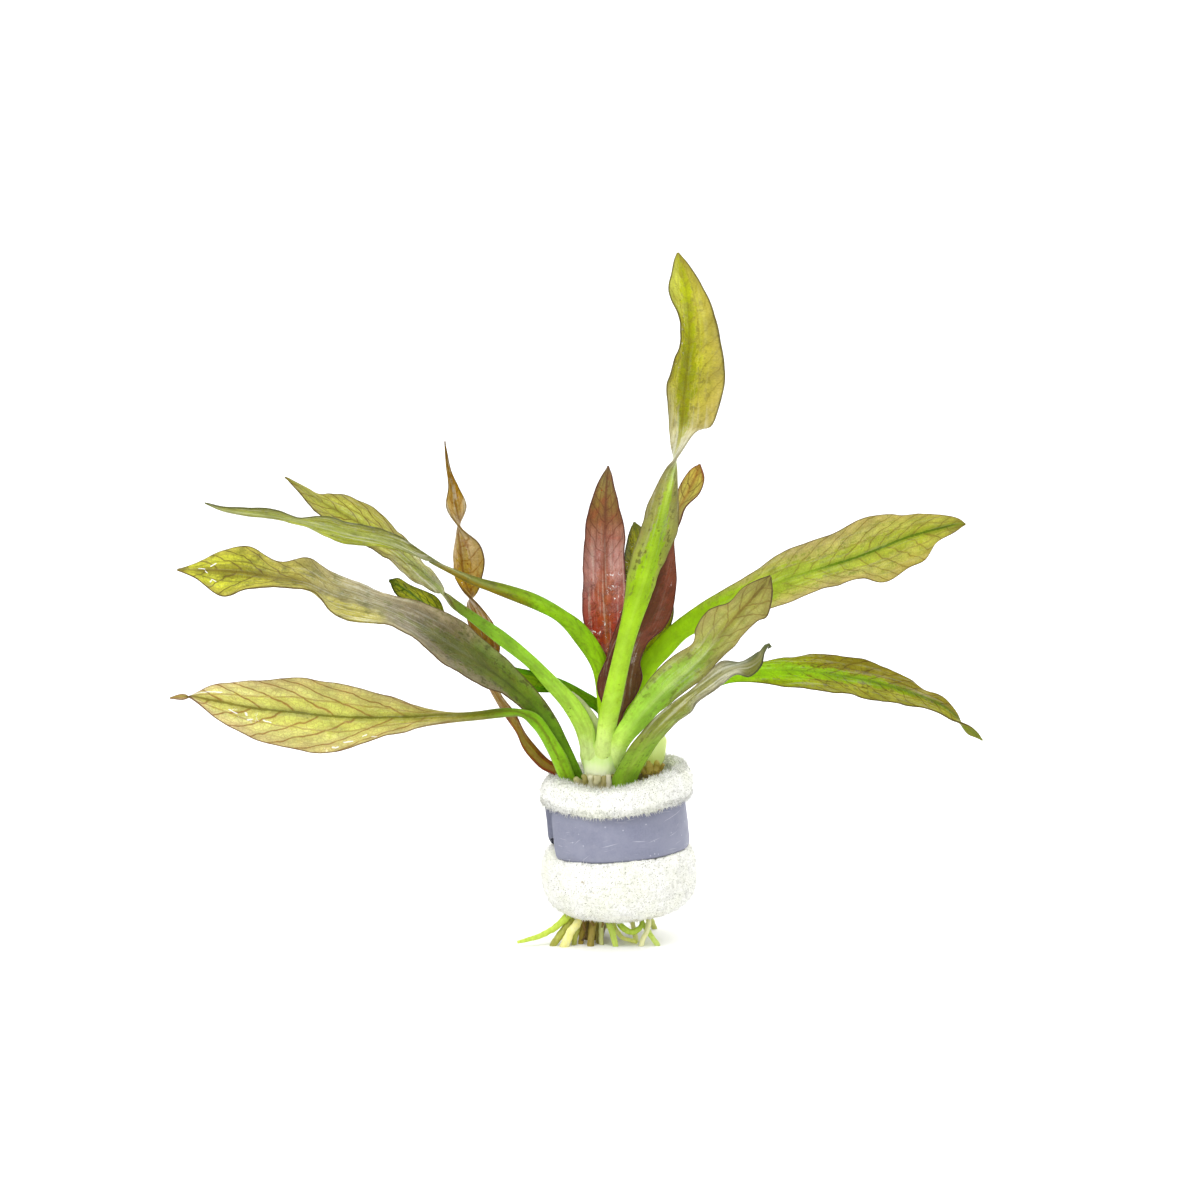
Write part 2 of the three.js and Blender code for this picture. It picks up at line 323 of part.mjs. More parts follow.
    [40.5, 59.4, -0.5, 40.2, 61.7, 2.2, 40.6, 56.2, -2.0, 1.2],
    [46.0, 59.3, 0.3, 45.8, 62.7, 3.0, 46.0, 55.5, -2.8, 1.1],
    [51.5, 58.7, 1.3, 51.2, 63.0, 3.4, 51.6, 54.9, -3.2, 1.0],
    [57.0, 57.8, 2.4, 57.0, 62.5, 3.4, 57.0, 54.1, -3.2, 1.0],
    [62.5, 56.8, 3.6, 63.0, 61.0, 3.2, 62.6, 52.9, -3.0, 0.95],
    [68.0, 55.3, 4.8, 68.4, 58.6, 2.8, 67.6, 52.1, -2.6, 0.9],
    [73.0, 53.6, 6.0, 73.4, 55.5, 2.4, 72.6, 51.3, -2.2, 0.85],
    [77.4, 51.7, 7.0, 78.0, 53.5, 1.8, 76.8, 50.1, -1.8, 0.8],
    [80.4, 49.4, 7.8, 81.0, 50.1, 1.2, 79.9, 48.4, -1.2, 0.7],
    [82.1, 47.6, 8.2, 82.1, 47.4, 1.2, 82.1, 47.8, -1.2, 0.65],
    [83.9, 46.2, 8.6, 83.5, 45.3, 0.3, 84.2, 47.0, -0.3, 0.6],
    [85.6, 44.9, 8.9, 85.3, 44.5, 0.0, 85.9, 45.5, 0.0, 0.5],
    [86.8, 43.9, 9.0, 86.7, 43.8, 0.0, 86.8, 44.0, 0.0, 0.4],
  ],
  crown_sheath: [
    [1.6, 43.6, -4.6, 0.7, 43.6, 0.0, 2.5, 43.6, 0.0, 0.8],
    [0.9, 46.5, -4.7, -0.4, 46.4, -0.1, 2.2, 47.0, -0.1, 0.7],
    [-0.8, 50.0, -4.1, -1.9, 49.6, -0.1, 0.3, 50.2, -0.1, 0.6],
    [-2.9, 52.9, -3.3, -3.6, 52.4, -0.1, -2.2, 53.1, -0.1, 0.5],
    [-4.5, 54.7, -2.6, -4.6, 54.6, 0.0, -4.4, 54.8, 0.0, 0.4],
  ],
};

// Thickened stems and crowns. Each row is x, y, z and the radius across and in depth.
const TRUNKS = {
  root_stock: [
    [0.0, 0.0, 0.0, 2.5, 2.3],
    [0.5, -0.5, 4.0, 2.9, 2.6],
    [1.2, -1.2, 8.0, 3.0, 2.8],
    [2.4, -2.4, 14.0, 3.1, 3.1],
    [2.6, -3.2, 22.0, 3.2, 3.2],
    [2.3, -4.0, 29.0, 3.3, 3.2],
    [1.9, -4.9, 34.6, 2.3, 2.3],
  ],
  crown_main: [
    [1.8, -5.2, 35.0, 1.9, 1.9],
    [1.8, -5.1, 37.0, 2.7, 2.6],
    [2.0, -4.9, 38.8, 3.3, 3.2],
    [2.2, -4.7, 41.0, 4.2, 3.9],
    [2.5, -4.4, 43.2, 4.9, 4.3],
    [2.7, -4.2, 45.0, 5.0, 4.3],
    [2.8, -4.1, 46.2, 3.4, 3.0],
  ],
  crown_right: [
    [9.2, 2.0, 9.0, 1.6, 1.6],
    [9.0, 2.2, 18.0, 2.2, 2.2],
    [10.4, 2.8, 28.0, 2.4, 2.4],
    [12.3, 3.4, 36.0, 2.2, 2.2],
    [12.9, 3.4, 39.2, 3.0, 2.9],
    [13.2, 3.3, 42.0, 3.4, 3.2],
    [13.5, 3.2, 44.6, 3.3, 3.0],
    [13.7, 3.1, 46.2, 2.2, 2.0],
  ],
};

// Roots, cut off flat where they rest. Each row is across, up, depth and radius.
const ROOTS = {
  root_left_long: [
    [-3.6, 6.3, -4.6, 0.9],
    [-5.6, 4.6, -6.2, 0.85],
    [-8.0, 2.5, -7.4, 0.75],
    [-11.0, 0.7, -8.2, 0.65],
    [-14.0, -0.3, -8.8, 0.5],
    [-16.6, -0.95, -8.9, 0.35],
  ],
  root_left_olive: [
    [-2.4, 6.2, -4.0, 1.0],
    [-4.0, 4.4, -5.0, 1.0],
    [-5.8, 2.2, -6.2, 0.95],
    [-7.6, 0.0, -7.2, 0.85],
    [-9.0, -2.2, -7.8, 0.8],
  ],
  root_left_cream: [
    [-1.8, 5.6, -5.6, 0.8],
    [-3.2, 3.4, -7.2, 0.9],
    [-4.8, 1.2, -8.2, 0.95],
    [-6.6, -2.6, -8.8, 1.0],
  ],
  root_thin_olive: [
    [-1.4, 5.8, -4.6, 0.7],
    [-2.8, 3.8, -5.6, 0.65],
    [-3.6, 1.0, -6.4, 0.65],
    [-4.2, -2.4, -6.8, 0.6],
  ],
  root_brown_stub: [
    [-0.8, 6.0, -3.6, 0.8],
    [-1.8, 4.0, -4.6, 0.9],
    [-2.2, 1.4, -5.6, 0.7],
    [-2.6, -2.2, -5.8, 0.6],
  ],
  root_front_brown: [
    [0.4, 6.0, -4.6, 0.8],
    [0.2, 3.6, -6.2, 0.85],
    [-0.1, 1.0, -7.4, 0.8],
    [-0.4, -2.6, -8.2, 0.75],
  ],
  root_middle_thin: [
    [2.0, 6.0, -4.4, 0.6],
    [2.2, 3.6, -5.4, 0.6],
    [2.0, 1.0, -6.2, 0.55],
    [2.2, -2.4, -6.8, 0.5],
  ],
  root_light_green: [
    [2.9, 6.0, -5.2, 0.65],
    [3.6, 3.6, -6.6, 0.7],
    [4.6, 1.0, -7.8, 0.7],
    [5.4, -2.6, -8.4, 0.6],
  ],
  root_green_loop: [
    [4.4, 6.6, -3.0, 0.7],
    [5.6, 3.9, -5.0, 0.7],
    [7.2, 2.0, -6.2, 0.7],
    [9.0, 1.3, -6.4, 0.65],
    [10.6, 2.2, -5.4, 0.6],
    [11.2, 3.6, -3.6, 0.5],
  ],
  root_middle_broad: [
    [1.4, 6.4, -2.6, 0.9],
    [1.5, 3.8, -3.6, 1.0],
    [1.7, 1.0, -4.6, 0.9],
    [1.8, -2.0, -5.4, 0.9],
  ],
  root_right_lying: [
    [4.0, 6.4, -1.6, 0.5],
    [4.9, 2.6, -3.4, 0.55],
    [6.6, 0.2, -4.6, 0.5],
    [8.6, -0.5, -5.2, 0.45],
    [10.0, -0.9, -5.8, 0.4],
  ],
  root_right_cream: [
    [11.4, 7.6, 0.4, 0.6],
    [12.5, 4.2, -3.4, 0.6],
    [12.3, 1.9, -5.6, 0.6],
    [11.4, -0.2, -7.4, 0.6],
    [10.6, -2.6, -8.4, 0.55],
  ],
  root_right_green: [
    [9.8, 6.8, -0.6, 0.55],
    [11.2, 3.4, -1.8, 0.55],
    [13.2, 0.4, -6.4, 0.6],
    [15.2, -2.4, -8.0, 0.6],
  ],
  root_right_pale: [
    [8.6, 6.4, -0.4, 0.5],
    [9.0, 3.6, -1.6, 0.55],
    [9.6, 0.4, -3.4, 0.55],
    [10.2, -1.8, -4.4, 0.5],
  ],
  root_back_left: [
    [-0.5, 8.1, 1.5, 0.8],
    [-3.4, 5.0, 5.0, 0.8],
    [-5.2, 2.8, 7.2, 0.75],
    [-6.3, 1.0, 8.6, 0.7],
  ],
  root_back_middle: [
    [4.0, 8.2, 2.5, 0.8],
    [3.4, 5.2, 7.0, 0.8],
    [2.9, 3.3, 9.3, 0.75],
    [2.4, 1.5, 11.0, 0.7],
  ],
  root_back_right: [
    [9.8, 8.2, 3.5, 0.7],
    [12.2, 5.2, 7.0, 0.7],
    [13.4, 3.3, 8.8, 0.65],
    [14.1, 1.4, 10.0, 0.6],
  ],
};

const deg = Math.PI / 180;

// Turns a point as the eye sees it, across and up, into a place in space at a given depth.
function seen(across, up, depth) {
  const e = EYE_ELEVATION_DEG * deg;
  const forward = new THREE.Vector3(0, Math.cos(e), -Math.sin(e));
  const upward = new THREE.Vector3(0, Math.sin(e), Math.cos(e));
  const eye = EYE_TARGET.clone().addScaledVector(forward, -EYE_DISTANCE);
  const onPlane = EYE_TARGET.clone()
    .add(new THREE.Vector3(across - EYE_CENTRE_ACROSS, 0, 0))
    .addScaledVector(upward, up - EYE_CENTRE_UP);
  const s = (depth - eye.y) / (onPlane.y - eye.y);
  return eye.clone().add(onPlane.sub(eye).multiplyScalar(s));
}

// Keeps rows of points and triangles until they become one solid.
function meshBuilder() {
  const points = [];
  const triangles = [];
  return {
    points,
    triangles,
    point(p) {
      points.push(p.x, p.y, p.z);
      return points.length / 3 - 1;
    },
    quad(a, b, c, d) {
      triangles.push(a, b, c, a, c, d);
    },
  };
}

// A ring-by-ring skin: every ring has the same number of points and both ends get a lid.
function skin(rings, lid) {
  const m = meshBuilder();
  const ids = rings.map((ring) => ring.map((p) => m.point(p)));
  const n = rings[0].length;
  for (let i = 0; i + 1 < ids.length; i++) {
    for (let j = 0; j < n; j++) {
      const k = (j + 1) % n;
      m.quad(ids[i][j], ids[i][k], ids[i + 1][k], ids[i + 1][j]);
    }
  }
  lid(m, ids[0], false);
  lid(m, ids[ids.length - 1], true);
  return m;
}

function ladderLid(m, ring, far) {
  const half = ring.length / 2;
  for (let j = 0; j + 1 < half; j++) {
    const a = ring[j];
    const b = ring[j + 1];
    const c = ring[ring.length - 2 - j];
    const d = ring[ring.length - 1 - j];
    if (far) m.quad(a, b, c, d);
    else m.quad(d, c, b, a);
  }
}

function fanLid(m, ring, far) {
  for (let j = 1; j + 1 < ring.length; j++) {
    if (far) m.triangles.push(ring[0], ring[j], ring[j + 1]);
    else m.triangles.push(ring[0], ring[j + 1], ring[j]);
  }
}

const wasm = await Module();
wasm.setup();

// Makes a solid and turns it the right way out if its points run the other way.
function solidOf(m) {
  const build = (tri) => new wasm.Manifold(new wasm.Mesh({
    numProp: 3,
    vertProperties: Float32Array.from(m.points),
    triVerts: Uint32Array.from(tri),
  }));
  const solid = build(m.triangles);
  if (solid.volume() > 0) return solid;
  const flipped = [];
  for (let i = 0; i < m.triangles.length; i += 3) {
    flipped.push(m.triangles[i], m.triangles[i + 2], m.triangles[i + 1]);
  }
  return build(flipped);
}

// The leaf's cross-section is the parabola through both edges and the middle.
const ACROSS_STEPS = [-1, -0.5, 0, 0.5, 1];

function leafPoint(station, s) {
  const [middle, edgeA, edgeB] = station;
  return middle.clone()
    .addScaledVector(edgeB, s / 2)
    .addScaledVector(edgeA, -s / 2)
    .add(edgeA.clone().add(edgeB).multiplyScalar(0.5).sub(middle).multiplyScalar(s * s));
}

function leafSolid(rows, grow) {
  const stations = rows.map(([a, u, d, aa, au, ad, ba, bu, bd, thick]) => {
    const middle = seen(a, u, d);
    const edgeA = seen(aa, au, d + ad);
    const edgeB = seen(ba, bu, d + bd);
    const out = edgeB.clone().sub(edgeA).normalize().multiplyScalar(grow);
    return [middle, edgeA.sub(out), edgeB.add(out), thick];
  });
  const rings = stations.map((station, i) => {
    const before = stations[Math.max(i - 1, 0)];
    const after = stations[Math.min(i + 1, stations.length - 1)];
    const along = after[0].clone().sub(before[0]).normalize();
    let shift = 0;
    if (i === 0) shift = -grow;
    if (i === stations.length - 1) shift = grow;
    const faces = ACROSS_STEPS.map((s) => {
      const p = leafPoint(station, s).addScaledVector(along, shift);
      const acrossWay = leafPoint(station, s + 0.1).sub(leafPoint(station, s - 0.1)).normalize();
      const normal = acrossWay.cross(along).normalize();
      const edge = EDGE_HALF_THICKNESS + grow;
      const half = edge + Math.max(station[3] / 2 - EDGE_HALF_THICKNESS, 0) * Math.sqrt(1 - s * s);
      return [p.clone().addScaledVector(normal, half), p.clone().addScaledVector(normal, -half)];
    });
    const top = faces.map((f) => f[0]);
    const under = faces.map((f) => f[1]).reverse();
    return [...top, ...under];
  });
  return solidOf(skin(rings, ladderLid));
}

function trunkSolid(rows, sides, grow) {
  const rings = rows.map(([x, y, z, rx, ry], i) => {
    let dz = 0;
    if (i === 0 && z > 0) dz = -grow;
    if (i === rows.length - 1) dz = grow;
    return Array.from({ length: sides }, (_, j) => {
      const a = (j / sides) * 2 * Math.PI;
      return new THREE.Vector3(x + (rx + grow) * Math.cos(a), y + (ry + grow) * Math.sin(a), z + dz);
    });
  });
  return solidOf(skin(rings, fanLid));
}

function rootSolid(rows, grow) {
  const path = rows.map(([across, up, depth]) => seen(across, up, depth));
  const sides = 6;
  const rings = path.map((p, i) => {
    const before = path[Math.max(i - 1, 0)];
    const after = path[Math.min(i + 1, path.length - 1)];
    const along = after.clone().sub(before).normalize();
    const side = new THREE.Vector3(0, 1, 0).cross(along).normalize();
    const deep = along.clone().cross(side).normalize();
    const r = rows[i][3] + grow;
    return Array.from({ length: sides }, (_, j) => {
      const a = (j / sides) * 2 * Math.PI;
      return p.clone().addScaledVector(side, r * Math.cos(a)).addScaledVector(deep, r * Math.sin(a));
    });
  });
  return solidOf(skin(rings, fanLid));
}

// The foam is one long roll bent round the stems, with a butt seam at the back.
function foamSolid() {
  const mid = [11.5, 20];
  const rings = [];
  const seam = (FOAM_SEAM_GAP / 2 / 14) * (180 / Math.PI);
  for (let i = 0; i <= FOAM_SEGMENTS; i++) {
    const angle = (90 + seam + ((360 - 2 * seam) * i) / FOAM_SEGMENTS) * deg;
    const rightness = THREE.MathUtils.smoothstep(Math.cos(angle), -0.3, 0.95);
    const backness = Math.max(Math.sin(angle), 0);
    const rise = RIM_RISE_RIGHT * rightness + RIM_RISE_BACK * backness;
    const ring = FOAM_PROFILE.map(([r, z, share]) => new THREE.Vector3(
      FOAM_AXIS_X + r * Math.cos(angle), r * Math.sin(angle), z + rise * share));
    rings.push(ring);
  }
  const lid = (m, ring, far) => {
    const flat = FOAM_PROFILE.map(([r, z]) => new THREE.Vector2(r - mid[0], z - mid[1]));
    for (const [a, b, c] of THREE.ShapeUtils.triangulateShape(flat, [])) {
      if (far) m.triangles.push(ring[a], ring[b], ring[c]);
      else m.triangles.push(ring[a], ring[c], ring[b]);
    }
  };
  return solidOf(skin(rings, lid));
}

function stripSolid(grow) {
  const rings = [];
  const tilt = STRIP_TILT_DEG * deg;
  const h = STRIP_THICKNESS / 2 + grow;
  for (let i = 0; i <= STRIP_STEPS; i++) {
    const turned = (STRIP_SWEEP_DEG * i) / STRIP_STEPS;
    const angle = (STRIP_START_DEG + turned) * deg;
    const tucked = THREE.MathUtils.smoothstep(turned, STRIP_TUCK_FROM_DEG, STRIP_TUCK_TO_DEG);
    const r = STRIP_MID_RADIUS - STRIP_TUCK * tucked;
    const low = STRIP_BOTTOM_Z + (STRIP_RISE_PER_TURN * turned) / 360 - grow;
    const high = low + STRIP_WIDTH + 2 * grow;
    const flare = STRIP_FLARE * (1 - tucked);
    const corners = [
      [r - h + flare, low],
      [r + h + flare, low],
      [r + h - flare, high],
      [r - h - flare, high],
    ];
    rings.push(corners.map(([radius, z]) => {
      const p = new THREE.Vector3(radius * Math.cos(angle), radius * Math.sin(angle), z - STRIP_MID_Z);
      p.x -= STRIP_LEAN * p.z;
      const x = p.x * Math.cos(tilt) - p.z * Math.sin(tilt);
      const up = p.x * Math.sin(tilt) + p.z * Math.cos(tilt);
      return new THREE.Vector3(STRIP_AXIS_X + x, p.y, STRIP_MID_Z + up);
    }));
  }
  return solidOf(skin(rings, fanLid));
}

// Keeps only the largest piece, so that a cut never leaves crumbs.
function largest(solid) {
  const pieces = solid.decompose();
  pieces.sort((p, q) => q.volume() - p.volume());
  return pieces[0];
}

const done = [];

function place(name, solid, grown, colour, roughness, metalness) {
  let cut = solid;
  for (const other of done) cut = cut.subtract(other.grown);
  cut = largest(cut.simplify(0.02));
  done.push({ name, solid: cut, grown, colour, roughness, metalness });
}

const LEAF_COLOURS = {
  leaf_left_low: 0xc3c06a,
  leaf_left_wavy: 0x8d8a4e,
  leaf_left_pale: 0xa5aa78,
  leaf_left_high: 0xbdc45a,
  leaf_left_short: 0x6f8a14,
  leaf_ochre_spiral: 0xb08f45,
  leaf_red_centre: 0x9a5a50,
  leaf_red_right: 0x63372a,
  leaf_dark_centre: 0x7e8a1e,
  leaf_tallest: 0xa9b048,
  leaf_right_front: 0xa2a850,
  leaf_right_low: 0x93984f,
  leaf_right_high: 0xb9bf55,
  leaf_right_long: 0xabb348,
  crown_sheath: 0xd5dfb0,
};
const TRUNK_COLOURS = { root_stock: 0x7a6230, crown_main: 0xd3f09a, crown_right: 0xd8e8a0 };
const ROOT_COLOUR = 0xb9c46c;

for (const [name, rows] of Object.entries(TRUNKS)) {
  const grown = trunkSolid(rows, 14, TOUCH_GAP);
  place(name, trunkSolid(rows, 14, 0), grown, TRUNK_COLOURS[name], 0.55, 0);
}
const LEAF_ORDER = [
  "leaf_tallest",
  "leaf_right_front",
  "leaf_left_high",
  "leaf_right_low",
  "leaf_left_low",
  "leaf_left_wavy",
  "leaf_left_pale",
  "leaf_red_right",
  "leaf_right_high",
  "leaf_red_centre",
  "leaf_dark_centre",
  "leaf_left_short",
  "leaf_ochre_spiral",
  "leaf_right_long",
  "crown_sheath",
];
for (const name of LEAF_ORDER) {
  const rows = LEAVES[name];
  place(name, leafSolid(rows, 0), leafSolid(rows, TOUCH_GAP), LEAF_COLOURS[name], 0.45, 0);
}
const belowFloor = trunkSolid([[0, 0, -5, 200, 200], [0, 0, 0, 200, 200]], 4, 0);
for (const [name, rows] of Object.entries(ROOTS)) {
  const solid = rootSolid(rows, 0).subtract(belowFloor);
  place(name, solid, rootSolid(rows, TOUCH_GAP), ROOT_COLOUR, 0.5, 0);
}
place("lead_strip", stripSolid(0), stripSolid(TOUCH_GAP), 0x8e8fa3, 0.5, 0.6);
place("foam_sleeve", foamSolid(), foamSolid(), 0xf2f3ea, 0.95, 0);

const plant = new THREE.Group();
plant.name = "potted_echinodorus";
for (const item of done) {
  const mesh = item.solid.getMesh();
  const geometry = new THREE.BufferGeometry();
  geometry.setAttribute("position", new THREE.BufferAttribute(mesh.vertProperties, 3));
  geometry.setIndex(new THREE.BufferAttribute(mesh.triVerts, 1));
  const material = new THREE.MeshStandardMaterial({
    color: item.colour,
    roughness: item.roughness,
    metalness: item.metalness,
    flatShading: true,
  });
  const node = new THREE.Mesh(geometry, material);
  node.name = item.name;
  plant.add(node);
}

export default plant;
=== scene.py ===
"""The looks of a bare-root aquarium sword plant in a rolled foam sleeve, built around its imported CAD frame.

Sizes are in millimetres and become metres where a mesh is made. The stations of leaves, trunks and roots
repeat those of the CAD source, and are joined here by smooth curves.
"""
import math
import random

import bpy
import numpy as np
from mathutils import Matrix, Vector, noise


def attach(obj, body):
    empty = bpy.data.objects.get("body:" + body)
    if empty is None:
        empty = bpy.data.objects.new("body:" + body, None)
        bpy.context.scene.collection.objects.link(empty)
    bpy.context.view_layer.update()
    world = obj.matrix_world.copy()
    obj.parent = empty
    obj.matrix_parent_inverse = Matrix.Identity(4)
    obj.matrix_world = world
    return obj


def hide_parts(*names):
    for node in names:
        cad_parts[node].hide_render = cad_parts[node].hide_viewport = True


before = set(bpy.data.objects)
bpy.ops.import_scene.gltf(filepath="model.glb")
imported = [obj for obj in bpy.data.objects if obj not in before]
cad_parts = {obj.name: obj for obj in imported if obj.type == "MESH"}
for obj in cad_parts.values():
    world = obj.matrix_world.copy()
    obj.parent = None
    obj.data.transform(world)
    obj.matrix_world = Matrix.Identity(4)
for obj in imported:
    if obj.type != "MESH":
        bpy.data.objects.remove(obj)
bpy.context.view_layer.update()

MM = 0.001

# The eye that the stations are drawn from, which is also the camera.
EYE_ELEVATION = math.radians(7)
EYE_DISTANCE = 750.0
EYE_TARGET = np.array([1.8, 0.0, 76.6])
EYE_CENTRE_ACROSS = 1.78
EYE_CENTRE_UP = 75.1
FRAME_PIXELS = 1200
PIXELS_PER_MM = 4.5
SENSOR_WIDTH = 36.0

# Each light: its name, place, target, size and power.
LIGHTS = [("key", (-260, -420, 520), (0, 0, 60), 130, 1.9), ("rim", (320, 380, 420), (0, 0, 60), 260, 1.4),
          ("backdrop", (0, 320, 760), (0, 900, 200), 700, 1.5)]
SKY_STRENGTH = 1.08

# Leaf mesh: how fine it is, the half thickness of its thin edge, and the half widths from stalk to blade.
LEAF_RING_SPACING = 0.75
LEAF_ACROSS = 38
EDGE_HALF_THICKNESS = 0.15
STALK_TO_BLADE = (1.7, 3.6)
# Each ripple: its shortest and longest length, and its share of the leaf's ripple.
RIPPLES = ((10, 13, 1.0), (5, 6.5, 0.45), (2.4, 3.2, 0.16))
# How much more of the rib is below than above, and the veins along the blade, sunk above and raised below.
RIB_BELOW = 0.75
VEIN_TRACKS = (0.36, 0.7)
VEIN_WIDTH = 0.3
VEIN_SUNK = 0.05
VEIN_RAISED = 0.06

# Meshes of roots, trunks and torn scraps.
ROOT_RING_SPACING = 0.22
ROOT_SIDES = 18
ROOT_WOBBLE = 0.2
ROOT_SEED = 40
TRUNK_RINGS = 90
TRUNK_SIDES = 48
SCRAP_RINGS = 14
SCRAP_SIDES = 14
SCRAP_WOBBLE = 0.45


def value_of(word):
    """A colour stays text, all else is a number."""
    return word if word.startswith("#") else float(word)


def tables(text):
    """Named tables: a name on a line of its own, then its rows."""
    named = {}
    for line in text.strip().splitlines():
        words = line.split()
        if len(words) == 1:
            rows = named[line] = []
        else:
            rows.append([value_of(word) for word in words])
    return named


def stops(text):
    """Pairs of a place and its colour or level, from a text that gives them in turn."""
    values = [value_of(word) for word in text.split()]
    return list(zip(values[::2], values[1::2]))


